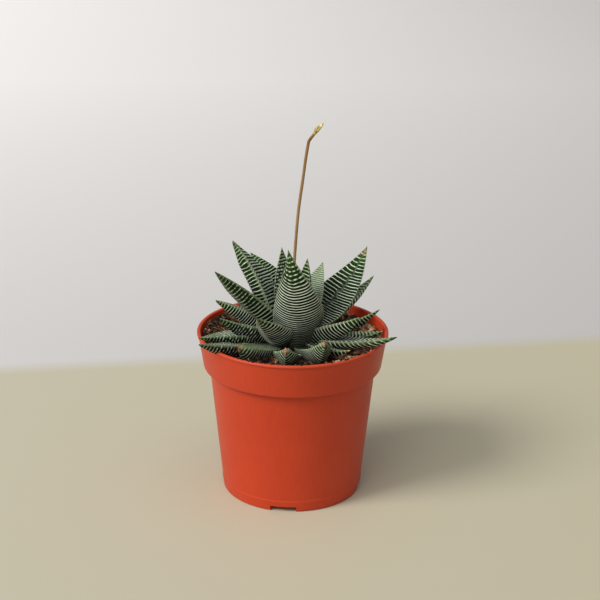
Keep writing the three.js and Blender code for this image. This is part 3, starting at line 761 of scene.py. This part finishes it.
class Leaf:
    """One leaf: its row of sizes, with what its kind and its own pattern add.

    Its methods take places as a share of the length, across from -1 to 1, and a face that is 1 above,
    -1 below and 0 on the margin.
    """

    def __init__(self, row, seed):
        sizes = dict(zip(LEAF_KEYS, row))
        for values in (DEFAULTS, sizes, KINDS[sizes["kind"]], PATTERNS.get(sizes["name"], {})):
            vars(self).update(values)
        self.seed = seed

    def half_width(self, share):
        """Half of the width: widest below the middle, with a neck at the root."""
        rise = np.maximum(share + ROOT_SHARE, 0) ** RISE_POWER
        shape = rise * np.maximum(1 - share, 0) ** FALL_POWER / OUTLINE_PEAK
        neck = self.neck + (1 - self.neck) * smooth(0, NECK_SHARE, share)
        blunt = self.blunt * np.sqrt(np.clip(1 - share, 0, 1)) * smooth(*BLUNT_PART, share)
        least = TIP_HALF_WIDTH * (1 - smooth(TIP_START, 1, share))
        return np.maximum(self.width / 2 * shape * neck + blunt, least)

    def thickness(self, share):
        """Thickness below the margins, rounded off at the tip."""
        rounded = np.minimum(1, np.sqrt(np.maximum(1 - share, 0) / TIP_ROUND_SHARE))
        return self.thick * (1 - self.thinning * share) * rounded

    def frame(self, share):
        """Direction, side and upward vectors of the middle line."""
        lift = np.radians(self.lift0 + (self.lift1 - self.lift0) * share)
        azimuth = np.radians(self.azimuth + self.sweep * share)
        along = polar(np.cos(lift), azimuth, np.sin(lift))
        flat = np.stack([-np.sin(azimuth), np.cos(azimuth), np.zeros_like(azimuth)], -1)
        twist = math.radians(self.twist)
        side = flat * math.cos(twist) + np.cross(along, flat) * math.sin(twist)
        return along, side, np.cross(along, side)

    def spine(self):
        """Points along the middle line from the root to the tip."""
        start = polar(self.root, math.radians(self.azimuth), self.height)
        along = self.frame((np.arange(SPINE_STEPS) + 0.5) / SPINE_STEPS)[0]
        return np.vstack([start, start + np.cumsum(along, 0) * self.length / SPINE_STEPS])

    def points(self, share, across, face, lift):
        """Points on the leaf, lifted off its plain surface."""
        spine = self.spine()
        places = np.linspace(0, 1, SPINE_STEPS + 1)
        middle = np.stack([np.interp(share, places, spine[:, k]) for k in range(3)], -1)
        side, up = self.frame(share)[1:]
        half = self.half_width(share)
        thick = self.thickness(share)
        inner = np.clip(np.abs(across), 0, 1)
        opened = 1 - inner ** 2
        vee = self.keel * np.maximum(share, 0) ** KEEL_POWER
        below = thick * ((1 - vee) * np.sqrt(opened) + vee * (1 - inner))
        body = np.where(face > 0, UPPER_BULGE * thick * opened, below)
        edge = MARGIN_THICKNESS / 2 * np.minimum(1, thick / THIN_LEAF)
        height = self.cup * half * inner ** 2 + face * (edge + body + lift)
        return middle + side * (across * half)[..., None] + up * height[..., None]

    def ridges_before(self, share):
        """How many ridges stand between the root and a share: they are closer together near the root."""
        return self.ridges * (share + self.crowding * share * (1 - share))

    def rows(self):
        """Shares for the rows of points, the same number for each ridge."""
        fine = np.linspace(0, 1, FINE_STEPS)
        steps = np.arange(self.ridges * ROWS_PER_RIDGE + 1)
        return np.interp(steps / ROWS_PER_RIDGE, self.ridges_before(fine), fine)

    def ridge_phase(self, share, across, offset):
        """Which ridge each point belongs to, as a count from the root; whole numbers are furrows."""
        wave, ripple = self.wobble
        phase = self.ridges_before(share)
        phase = phase * (1 + self.forked * (across < FORK_SWING * ripples(phase)))
        phase = phase + wave * noise(across * 2.2 + 9, phase / 2.5 + offset, self.seed)
        return phase + ripple * noise(across * 7, phase / 1.3 + offset, self.seed + 1)

    def line_strength(self, share, across, face, offset, phase, shifted):
        """How white each point's ridge is: less at the root and the tip, in dots near the tip, and frayed."""
        row = np.floor(phase)
        fray, grain, lobe_count = self.fray
        dots = smooth(*self.dots, share)
        if self.dotted_margin:
            dots = np.maximum(dots, smooth(*DOTTED_MARGIN, across) * smooth(*DOTTED_MARGIN, share))
        wander = 0.5 * (row % 2) + 0.3 * noise(row, offset, self.seed + 3)
        lobes = 0.5 + 0.5 * np.cos(TURN * (across * lobe_count + wander))
        worn = smooth(*WORN_SPOTS, noise(across * grain + row * 7.3, row * 0.37 + offset, self.seed + 4))
        worn = worn * np.where(face < 0, fray, self.upper_fray)
        gap = 0.7 * shifted * (1 - smooth(*MIDDLE_GAP, np.abs(across)))
        strength = (1 - 0.9 * dots * (1 - smooth(*LOBE_ENDS, lobes))) * (1 - worn) * (1 - gap)
        strength = strength * smooth(*WHITE_ROOT, share) * (1 - 0.6 * smooth(*WHITE_TIP, share))
        if self.forked:
            fork = np.abs(across - FORK_SWING * ripples(phase)) < FORK_WIDTH
            strength = strength * (1 - 0.6 * fork)
        return strength * self.white

    def relief(self, share, across, face, crest, strength):
        """How far each point is lifted: by its ridge, and by knobs on a blunt tip."""
        fade = smooth(*LIFTED_ROOT, share) * np.minimum(1, 3 * (1 - share))
        edge = 1 - 0.75 * smooth(*LEVEL_MARGIN, np.abs(across))
        ridge = crest ** RIDGE_POWER * (GREEN_RIDGE_LIFT + (1 - GREEN_RIDGE_LIFT) * strength)
        knobs = 1 + noise(across * 3 + 5, share * 60 + face, self.seed + 7)
        tip = TIP_KNOBS * self.blunt * smooth(*KNOBBLY_PART, share)
        return (RIDGE_LIFT * ridge * fade * edge + tip * knobs) * np.abs(face)

    def bent(self, share, across, face):
        """Shares after the ridges sag on the middle line and slant on their face."""
        ends = smooth(*BENT_FROM, share) * np.minimum(1, 4 * (1 - share))
        sag = self.sag[0] + (self.sag[1] - self.sag[0]) * share
        slant = np.where(face > 0, *self.slant)
        return share - sag * ends * (1 - across ** 2) + slant * across * ends

    def looks(self, share, across, face, crest, height):
        """What the leaf's material reads at each point, apart from its ridge and the white of it."""
        width = self.line * (1 - 0.15 * share) + 0.04 * noise(across * 3, share * 14, self.seed + 5)
        width = width * np.where(face > 0, self.full[0] * (1 + 0.5 * self.fresh), self.full[1])
        margin = 0.45 * smooth(*PALE_EDGE, np.abs(across)) * smooth(*PALE_EDGE_FROM, share)
        # The plain side's last value is painted shade on it
        side, start, full, dark = self.plain
        plain = smooth(start, full, across * side) * (face < 0) * (1 - smooth(*self.plain_end, share))
        # Painted shade on the lower faces just above the soil
        shade = 0.75 * (1 - smooth(*SOIL_SHADE, height)) * (face < 0)
        # Painted shade at the foot, on one face
        foot_face, foot_shade, foot_start, foot_end = self.foot
        foot = foot_shade * (1 - smooth(foot_start, foot_end, share)) * (face == foot_face)
        return {
            "share": share,
            "line": 0.5 + 0.5 * np.cos(math.pi * width),
            "margin": np.where(face == 0, 0.35 + 0.55 * crest, margin),
            "grey": np.where(face > 0, self.pale, 0.8 * plain),
            "dry": self.dryness(share, across),
            "tone": np.full_like(share, self.tone),
            "shade": np.maximum(np.maximum(shade, dark * plain), foot),
            "fresh": self.freshness(share, across, face),
        }

    def dryness(self, share, across):
        """How dry each point is: a ragged tip or a spot before it."""
        if not self.dry:
            return np.zeros_like(share)
        ragged = share + 0.02 * noise(across * 4, share * 30, self.seed + 6)
        dry = smooth(1 - self.dry * 1.3, 1 - self.dry * 0.6, ragged)
        return dry * (1 - smooth(*SPOT_END, share)) if self.spot else dry

    def freshness(self, share, across, face):
        """How light green each point is: the margins below and the outer half of the upper face."""
        outer = smooth(*FRESH_HALF, across if abs(self.azimuth) < 90 else -across)
        above = np.maximum(outer, self.light) * smooth(*FRESH_PART_ABOVE, share)
        below = smooth(self.fresh_from, self.fresh_from + FRESH_BAND, np.abs(across))
        return self.fresh * np.where(face < 0, below * smooth(*FRESH_PART_BELOW, share), above)

    def grow(self, material, taken):
        """The fine leaf with raised white ridges, a pale margin and its own tip, in place of its solid."""
        across, face = section_columns(WIDE_COLUMNS if self.width > WIDE_LEAF else NARROW_COLUMNS)
        share, across, face = np.broadcast_arrays(self.rows()[:, None], across, face)
        offset = np.where(face > 0, 0, LOWER_FACE_OFFSET)
        phase = self.ridge_phase(share, across, offset)
        shifted = self.parted * smooth(*HALVES_PARTED, noise(phase / 5 + offset, 0.5, self.seed + 2))
        phase = phase + 0.5 * shifted * smooth(*HALVES_BORDER, across)
        strength = self.line_strength(share, across, face, offset, phase, shifted)
        crest = 0.5 - 0.5 * np.cos(TURN * phase)
        knobs = MARGIN_KNOBS[0] + MARGIN_KNOBS[1] * crest
        swell = np.where(face == 0, 1 + knobs / np.maximum(self.half_width(share), KNOBS_HALF_WIDTH), 1)
        lift = self.relief(share, across, face, crest, strength)
        points = self.points(self.bent(share, across, face), across * swell, face, lift)
        floats = self.looks(share, across, face, crest, points[..., 2])
        floats.update({"phase": phase, "strength": strength})
        faces = tube_faces(*share.shape, reverse=True)
        piece = make_mesh(self.name + "_grown", points, faces, material, floats, self.tip)
        turn_outwards(piece.data)
        if taken:
            combine(piece, taken, "DIFFERENCE", "MANIFOLD")
            keep_part(piece.data, Vector(self.spine()[-1] * MM))
        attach(piece, BODY)
        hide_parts(self.name)

    def clearance(self, material):
        """The leaf without ridges, grown on every side, as the space that later leaves keep clear of."""
        across, face = np.array(CLEARANCE_SECTION, float).T
        share = np.linspace(0, 1, CLEARANCE_RINGS + 1)
        share, across, face = np.broadcast_arrays(share[:, None], across, face)
        along, side = self.frame(share)[:2]
        points = self.points(share, across, face, np.full(share.shape, CLEARANCE))
        points = points + side * (across * CLEARANCE)[..., None]
        points[-1] += along[-1] * CLEARANCE
        shape = make_mesh("clearance", points, tube_faces(*share.shape, reverse=True), material)
        turn_outwards(shape.data)
        return shape


def leaf_pieces(material):
    """All leaves, from the heart outwards, each cut back where it would meet the leaves before it."""
    taken = None
    for number, row in enumerate(LEAVES):
        leaf = Leaf(row, FIRST_SEED + SEED_STEP * number)
        leaf.grow(material, taken)
        shape = leaf.clearance(material)
        if taken:
            combine(taken, shape, "UNION", "MANIFOLD")
            bpy.data.objects.remove(shape)
        else:
            taken = shape
    bpy.data.objects.remove(taken)


def corner_arc(before, corner, after, radius):
    """Points that round one corner of an outline."""
    corner = Vector(corner)
    back = (Vector(before) - corner).normalized() * radius
    ahead = (Vector(after) - corner).normalized() * radius
    steps = [step / CORNER_STEPS for step in range(CORNER_STEPS + 1)]
    return [tuple(corner + back * (1 - t) ** 2 + ahead * t ** 2) for t in steps]


def rounded_outline(corners):
    """An outline from radius, height and rounding triples; the first and last stay sharp."""
    points = [corners[0][:2]]
    for before, here, after in zip(corners, corners[1:], corners[2:]):
        points += corner_arc(before[:2], here[:2], after[:2], here[2]) if here[2] else [here[:2]]
    return points + [corners[-1][:2]]


def outer_radius(height):
    """Outer radius of the pot below its collar."""
    return BASE_RADIUS + (BODY_TOP_RADIUS - BASE_RADIUS) * height / BODY_TOP


def inner_radius(height):
    """Inner radius of the pot."""
    if height <= BODY_TOP:
        return outer_radius(height) - POT_WALL
    upper = RIM_RADIUS - (LIP_WIDTH - POT_WALL)
    share = (height - BODY_TOP) / COLLAR_HEIGHT
    return COLLAR_FOOT_RADIUS + (upper - COLLAR_FOOT_RADIUS) * share - POT_WALL


def pot_outline():
    """Half section of the pot from the middle of its underside, out, up, over the lip and down inside."""
    lip_foot = POT_HEIGHT - LIP_HEIGHT
    return rounded_outline([
        (0, 0, 0),
        (FOOT_RADIUS, 0, 0.6),
        (FOOT_RADIUS, CHANNEL_HEIGHT, 0.6),
        (CHANNEL_RADIUS, CHANNEL_HEIGHT, 0.6),
        (CHANNEL_RADIUS, 0, 0.5),
        (BASE_RADIUS, 0, 1.2),
        (outer_radius(CHANNEL_HEIGHT), CHANNEL_HEIGHT, 0),
        (outer_radius(LEDGE_HEIGHT) + LEDGE_STEP, LEDGE_HEIGHT, 0.2),
        (outer_radius(LEDGE_HEIGHT) - LEDGE_STEP / 2, LEDGE_HEIGHT + 0.4, 0.2),
        (BODY_TOP_RADIUS - 0.05, BODY_TOP - 0.5, 0.7),
        (COLLAR_FOOT_RADIUS, BODY_TOP, 0.9),
        (RIM_RADIUS - 0.75, lip_foot - 0.1, 0.25),
        (RIM_RADIUS, lip_foot + 0.25, 0.4),
        (RIM_RADIUS, POT_HEIGHT, 0.75),
        (RIM_RADIUS - LIP_WIDTH, POT_HEIGHT, 0.75),
        (inner_radius(BODY_TOP + 1), BODY_TOP + 1, 0.4),
        (inner_radius(BODY_TOP - 1.5), BODY_TOP - 1.5, 0.4),
        (inner_radius(FLOOR_TOP), FLOOR_TOP, 0.8),
        (0, FLOOR_TOP, 0),
    ])


def pot_columns():
    """Angles round the pot and whether each column is cut by a notch. Notch sides are doubled columns."""
    half = math.asin(NOTCH_WIDTH / 2 / (BASE_RADIUS - 1))
    between = POT_COLUMNS // NOTCH_COUNT - NOTCH_STEPS - 1
    columns = []
    for i in range(NOTCH_COUNT):
        middle = math.radians(NOTCH_AZIMUTH + 360 / NOTCH_COUNT * i)
        start = middle - half
        end = middle + half
        following = start + TURN / NOTCH_COUNT
        columns.append((start, False))
        columns += [(angle, True) for angle in np.linspace(start, end, NOTCH_STEPS)]
        columns += [(angle, False) for angle in np.linspace(end, following, between + 2)[:-1]]
    return columns


def pot_piece(material):
    """The smooth pot, with its notches built into the rows of points and its drain holes cut after."""
    outline = np.array(pot_outline())
    columns = pot_columns()
    angles, cut = np.array(columns).T
    radius = np.repeat(outline[:, :1], len(columns), 1)
    height = np.repeat(outline[:, 1:], len(columns), 1)
    ring = (outline[:, 0] > NOTCHED_FROM_RADIUS) & (outline[:, 1] < NOTCHED_BELOW)
    low = ring[:, None] & (cut > 0)
    height = np.where(low, CHANNEL_HEIGHT, height)
    radius = np.where(low, np.minimum(radius, outer_radius(CHANNEL_HEIGHT)), radius)
    # Painted highlight along the top of the lip
    lip = smooth(*LIP_SHEEN_HEIGHT, height) * smooth(*LIP_SHEEN_RADIUS, radius)
    # Painted shade on the inside of the pot, from a few outline points past the top onwards
    inside = np.zeros_like(radius)
    inside[np.argmax(outline[:, 1]) + SHADED_INSIDE_STEP:] = 1
    faces = grid_faces(len(outline), len(columns))
    points = polar(radius, angles, height)
    piece = make_mesh("pot_moulded", points, faces, material, {"lip": lip, "inside": inside})
    clean_mesh(piece.data)
    cut_drain_holes(piece)
    piece.data.set_sharp_from_angle(angle=math.radians(SHARP_ANGLE))
    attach(piece, BODY)
    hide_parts("pot")


def cut_drain_holes(pot):
    """Cuts the drain holes through the raised channel of the floor."""
    turns = round_steps(DRAIN_SIDES)
    holes = Heap()
    for i in range(DRAIN_COUNT):
        centre = polar(DRAIN_CIRCLE, (i + 0.5) * TURN / DRAIN_COUNT)
        levels = (CHANNEL_HEIGHT - DRAIN_OVERCUT, FLOOR_TOP + DRAIN_OVERCUT)
        rings = [centre + polar(DRAIN_RADIUS, turns, z) for z in levels]
        holes.add(rings, tube_faces(2, DRAIN_SIDES))
    cutter = holes.mesh("drain_cutter", pot.data.materials[0])
    combine(pot, cutter, "DIFFERENCE", "EXACT")
    bpy.data.objects.remove(cutter)
    clean_mesh(pot.data)


def pip_piece(material):
    """Small moulding pip under the pot's lip."""
    radius, azimuth, height = PIP_PLACE
    ball, faces = sphere(*PIP_GRID)
    points = ball * PIP_RADIUS + polar(radius, math.radians(azimuth), height)
    # The pip takes part of the lip's painted highlight
    piece = make_mesh("pot_pip", points, faces, material, {"lip": np.full(len(ball), PIP_SHEEN)})
    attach(piece, BODY)


def soil_surface(x, y):
    """Height of the fine soil surface: its tilt, a bank along the wall, and lumps of several sizes."""
    edge = inner_radius(SOIL_LEVEL) - SOIL_GAP
    behind = smooth(*BANK_BEHIND, y) * (0.85 + 0.3 * noise(np.arctan2(y, x) * 3, 0.5, BANK_SEED))
    bank = SOIL_BANK * smooth(BANK_START, edge, np.hypot(x, y)) * behind
    lumps = sum(height * noise(x / width, y / width, seed) for height, width, seed in SOIL_LUMPS)
    return SOIL_LEVEL - SOIL_FALL[0] * x - SOIL_FALL[1] * y + bank + lumps


def painted_light(amount, start, end, x):
    """How much painted light raises the soil's tone at a place across."""
    return amount * smooth(start, end, x)


def soil_piece(material):
    """The soil body inside the pot, with a rough top."""
    floor = FLOOR_TOP + SOIL_GAP
    rings = [(0, floor)]
    rings += [(inner_radius(height) - SOIL_GAP, height) for height in (floor, BODY_TOP - 1.5, BODY_TOP + 1.4)]
    edge = inner_radius(SOIL_LEVEL) - SOIL_GAP
    rings += [(edge * (1 - i / SOIL_RINGS), None) for i in range(SOIL_RINGS + 1)]
    points = []
    for radius, height in rings:
        x, y, z = polar(radius, round_steps(SOIL_COLUMNS), height or 0).T
        points.append(np.column_stack([x, y, soil_surface(x, y) if height is None else z]))
    x, y = np.reshape(points, (-1, 3))[:, :2].T
    # Painted light raises the tone at the right
    tone = 0.36 + 0.6 * noise(x / TONE_PATCH, y / TONE_PATCH, TONE_SEED) + painted_light(*PAINTED_LIGHT_BED, x)
    piece = make_mesh("soil_bed", points, grid_faces(len(rings), SOIL_COLUMNS), material, {"tone": tone})
    clean_mesh(piece.data)
    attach(piece, BODY)
    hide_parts("soil")


def sphere(rows, columns):
    """Points and faces of a unit ball made of rows of quads with closed ends."""
    tilt = np.linspace(0, math.pi, rows + 2)[1:-1]
    points = polar(np.sin(tilt)[:, None], round_steps(columns), np.cos(tilt)[:, None])
    top = rows * columns
    last = top - columns
    faces = grid_faces(rows, columns)
    faces += [[top, (j + 1) % columns, j] for j in range(columns)]
    faces += [[top + 1, last + j, last + (j + 1) % columns] for j in range(columns)]
    return np.vstack([points.reshape(-1, 3), [0, 0, 1], [0, 0, -1]]), faces


def turned(points, random):
    """Points turned by a random rotation."""
    rotation = Quaternion(random.normal(size=4)).normalized().to_matrix()
    return points @ np.array(rotation).T


def scattered_places(random, count):
    """Random places on the soil, more of them towards the wall, where the leaves don't hide it."""
    radius = (inner_radius(SOIL_LEVEL) - WALL_ROOM) * np.sqrt(random.uniform(0.2, 1, count))
    return polar(radius, random.uniform(0, TURN, count))[:, :2].T


def crumb_places(random):
    """Places of the crumbs on the soil and on the rim."""
    xs, ys = scattered_places(random, CRUMB_COUNT)
    places = [np.column_stack([xs, ys, soil_surface(xs, ys)])]
    for azimuth, spread, count in RIM_CRUMBS:
        turn = np.radians(azimuth + random.uniform(-spread, spread, count))
        radius = RIM_RADIUS - random.uniform(0.7, 2.2, count)
        places.append(polar(radius, turn, RIM_CRUMB_HEIGHT))
    return np.vstack(places)


def crumbs_piece(material):
    """Loose crumbs of peat on the soil and on the rim."""
    random = np.random.RandomState(CRUMB_SEED)
    ball, faces = sphere(*CRUMB_GRID)
    crumbs = Heap()
    for x, y, z in crumb_places(random):
        size = CRUMB_SIZE[0] + CRUMB_SIZE[1] * random.uniform() ** 3
        if z == RIM_CRUMB_HEIGHT:
            size = min(size, LARGEST_RIM_CRUMB)
        shape = ball * (1 + 0.28 * random.uniform(-1, 1, (len(ball), 1)))
        shape = turned(shape * random.uniform(0.6, 1.3, 3), random) * size
        # Painted light raises the tone at the right
        tone = 0.8 * random.uniform() ** 2 + painted_light(*PAINTED_LIGHT_CRUMBS, x)
        crumbs.add(shape + [x, y, z + size * 0.35], faces, tone)
    piece = crumbs.mesh("soil_crumbs", material)
    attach(piece, BODY)


def tube_rings(path, radii, sides):
    """Rings of points along a path, each square to it."""
    path = np.asarray(path, float)
    ways = np.gradient(path, axis=0)
    ways /= np.linalg.norm(ways, axis=1, keepdims=True)
    reference = np.array([0.0, 1.0, 0.0]) if abs(ways[0][1]) < 0.9 else np.array([1.0, 0.0, 0.0])
    across = np.cross(ways, reference)
    across /= np.linalg.norm(across, axis=1, keepdims=True)
    up = np.cross(across, ways)
    turns = round_steps(sides)
    offsets = across[:, None] * np.cos(turns)[None, :, None] + up[:, None] * np.sin(turns)[None, :, None]
    return path[:, None] + offsets * np.broadcast_to(np.asarray(radii), (len(path), sides))[..., None]


def fibres_piece(material):
    """Thin bent peat fibres and root hairs that lie on the soil."""
    random = np.random.RandomState(FIBRE_SEED)
    limit = inner_radius(SOIL_LEVEL) - WALL_ROOM / 2
    steps = len(FIBRE_THICKNESS)
    fibres = Heap()
    for x, y in zip(*scattered_places(random, FIBRE_COUNT)):
        way = random.uniform(0, TURN)
        bend = random.uniform(-0.5, 0.5)
        length = random.uniform(2, 6)
        path = []
        for step in range(steps):
            path.append((x, y))
            x += math.cos(way + bend * step) * length / (steps - 1)
            y += math.sin(way + bend * step) * length / (steps - 1)
        path = np.array(path)
        path *= np.minimum(1, limit / np.hypot(path[:, 0], path[:, 1]))[:, None]
        arch = np.sin(np.linspace(0, math.pi, steps)) * random.uniform(0.1, 1.2)
        z = np.minimum(soil_surface(path[:, 0], path[:, 1]) + FIBRE_LIFT + arch, POT_HEIGHT - 0.6)
        thick = random.uniform(0.08, 0.22) * np.array(FIBRE_THICKNESS)
        rings = tube_rings(np.column_stack([path, z]), thick[:, None], FIBRE_SIDES)
        # Painted light raises the tone at the right
        tone = random.uniform(0.15, 0.9) + painted_light(*PAINTED_LIGHT_FIBRES, x)
        fibres.add(rings, tube_faces(steps, FIBRE_SIDES), tone)
    piece = fibres.mesh("soil_fibres", material)
    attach(piece, BODY)


def smooth_path(points, count):
    """Catmull-Rom curve through points."""
    points = np.asarray(points, float)
    padded = np.vstack([2 * points[0] - points[1], points, 2 * points[-1] - points[-2]])
    result = []
    spans = len(points) - 1
    for value in np.linspace(0, spans, count):
        i = min(int(value), spans - 1)
        t = value - i
        p0, p1, p2, p3 = padded[i:i + 4]
        result.append(0.5 * (2 * p1 + (p2 - p0) * t + (2 * p0 - 5 * p1 + 4 * p2 - p3) * t ** 2
                             + (3 * p1 - p0 - 3 * p2 + p3) * t ** 3))
    return np.array(result)


def stalk_piece(material):
    """The dry stalk, slightly fluted and knobbly."""
    share = np.linspace(0, 1, STALK_STEPS)
    turns = round_steps(STALK_SIDES)
    flutes = 1 + 0.06 * np.cos(turns * 5)[None, :] + 0.05 * noise(share * 24, 0.5, STALK_SEED)[:, None]
    radii = STALK_RADIUS * (1 - STALK_TAPER * share)[:, None] * flutes
    rings = tube_rings(smooth_path(STALK_POINTS, STALK_STEPS), radii, STALK_SIDES)
    floats = {"share": np.repeat(share, STALK_SIDES)}
    piece = make_mesh("flower_stalk_dry", rings, tube_faces(STALK_STEPS, STALK_SIDES), material, floats)
    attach(piece, BODY)
    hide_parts("flower_stalk")


def bud_piece(material):
    """The shrivelled flower: papery bracts, each a folded blade with a pointed end."""
    end = np.array(STALK_POINTS[-1], float)
    way = end - np.array(STALK_POINTS[-2], float)
    way /= np.linalg.norm(way)
    across = np.cross(way, [0, 1, 0])
    across /= np.linalg.norm(across)
    depth = np.cross(across, way)
    share = np.linspace(0, 1, BRACT_ROWS)
    turns = round_steps(BRACT_COLUMNS)
    blades = Heap()
    for start, length, lean, width, turn, seed in BRACTS:
        centre = end + np.outer(start + length * share, way)
        centre = centre + np.outer(lean * np.sin(share * math.pi / 2), across)
        half = width * np.sin(math.pi * np.clip(share * 0.93 + 0.07, 0, 1)) ** 0.75 + 0.06
        folds = 0.18 * np.cos(3 * turns + turn)[None, :]
        wrinkles = 0.16 * noise(share[:, None] * 9, turns[None, :] * 1.5, seed)
        flat = half[:, None] * (1 + folds + wrinkles)
        rings = (centre[:, None] + across * (np.cos(turns + turn) * flat)[..., None]
                 + depth * (BRACT_FLATNESS * np.sin(turns + turn) * flat)[..., None])
        blades.add(rings, tube_faces(BRACT_ROWS, BRACT_COLUMNS), np.repeat(0.35 + 0.5 * share, BRACT_COLUMNS))
    piece = blades.mesh("dried_flower", material)
    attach(piece, BODY)


def pebble_piece(node, seed, material):
    """A rough pebble where its solid is."""
    low, high = (np.array(corner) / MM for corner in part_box(node))
    ball, faces = sphere(*PEBBLE_GRID)
    rough = 1 + 0.10 * noise(ball[:, 0] * 2.2 + 5, ball[:, 1] * 2.2 + ball[:, 2] * 2.7, seed)
    rough = rough + 0.05 * noise(ball[:, 0] * 6 + 5, ball[:, 1] * 6 + ball[:, 2] * 7, seed + 1)
    points = (low + high) / 2 + ball * rough[:, None] * (high - low) / 2 * PEBBLE_FILL
    piece = make_mesh(node + "_rough", points, faces, material)
    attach(piece, BODY)
    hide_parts(node)


def floor_piece():
    """Plain pale floor."""
    corners = [(x * FLOOR_SIZE, y * FLOOR_SIZE, 0) for x, y in ((-1, -1), (1, -1), (1, 1), (-1, 1))]
    floor = make_mesh("floor", corners, [[0, 1, 2, 3]], floor_material())


def soft_sun(name, azimuth, elevation, softness, strength, colour):
    """A far, soft light that shines from an azimuth and an elevation, all in degrees."""
    data = bpy.data.lights.new(name, "SUN")
    data.angle = math.radians(softness)
    data.energy = strength
    data.color = colour
    light = bpy.data.objects.new(name, data)
    bpy.context.scene.collection.objects.link(light)
    up = math.radians(elevation)
    source = Vector(polar(math.cos(up), math.radians(azimuth), math.sin(up)))
    light.rotation_euler = source.to_track_quat("Z", "Y").to_euler()


def studio():
    """Soft light from the left, weaker light from the front and from above, and an even pale surround."""
    world = bpy.data.worlds.new("studio")
    bpy.context.scene.world = world
    world.use_nodes = True
    background = world.node_tree.nodes["Background"]
    background.inputs["Color"].default_value = SURROUND
    background.inputs["Strength"].default_value = SURROUND_STRENGTH
    for sun in SUNS:
        soft_sun(*sun)
    bpy.context.scene.view_settings.view_transform = "Standard"


def camera():
    """The photograph's camera."""
    data = bpy.data.cameras.new("camera")
    data.lens = CAMERA_LENS
    data.sensor_width = SENSOR
    data.sensor_fit = "AUTO"
    data.clip_end = CAMERA_REACH
    eye = bpy.data.objects.new("camera", data)
    bpy.context.scene.collection.objects.link(eye)
    turn = Matrix.Rotation(math.pi / 2 - CAMERA_PITCH, 4, "X") @ Matrix.Rotation(CAMERA_ROLL, 4, "Z")
    eye.matrix_world = Matrix.Translation(CAMERA_PLACE) @ turn
    bpy.context.scene.camera = eye


def plain(box):
    """A box's corners as lists of numbers."""
    return [list(map(float, corner)) for corner in box]


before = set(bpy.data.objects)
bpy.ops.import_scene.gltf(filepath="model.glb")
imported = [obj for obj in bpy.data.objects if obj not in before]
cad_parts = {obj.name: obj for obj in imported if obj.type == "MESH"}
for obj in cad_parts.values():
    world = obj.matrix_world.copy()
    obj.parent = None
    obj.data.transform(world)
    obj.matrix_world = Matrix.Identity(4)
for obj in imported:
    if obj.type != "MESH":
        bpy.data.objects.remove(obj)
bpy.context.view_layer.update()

camera()
studio()
floor_piece()

plastic = pot_material()
pot_piece(plastic)
pip_piece(plastic)
soil_piece(soil_material("soil_peat", 0.45))
crumbs_piece(soil_material("soil_crumb", 0.8))
fibres_piece(soil_material("soil_fibre", 0.85))
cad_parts["stem"].data.materials.clear()
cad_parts["stem"].data.materials.append(stem_material())
stalk_piece(stalk_material())
bud_piece(bud_material())
leaf_pieces(leaf_material())
grit = pebble_material()
for pebble, pebble_seed in PEBBLES.items():
    pebble_piece(pebble, pebble_seed, grit)
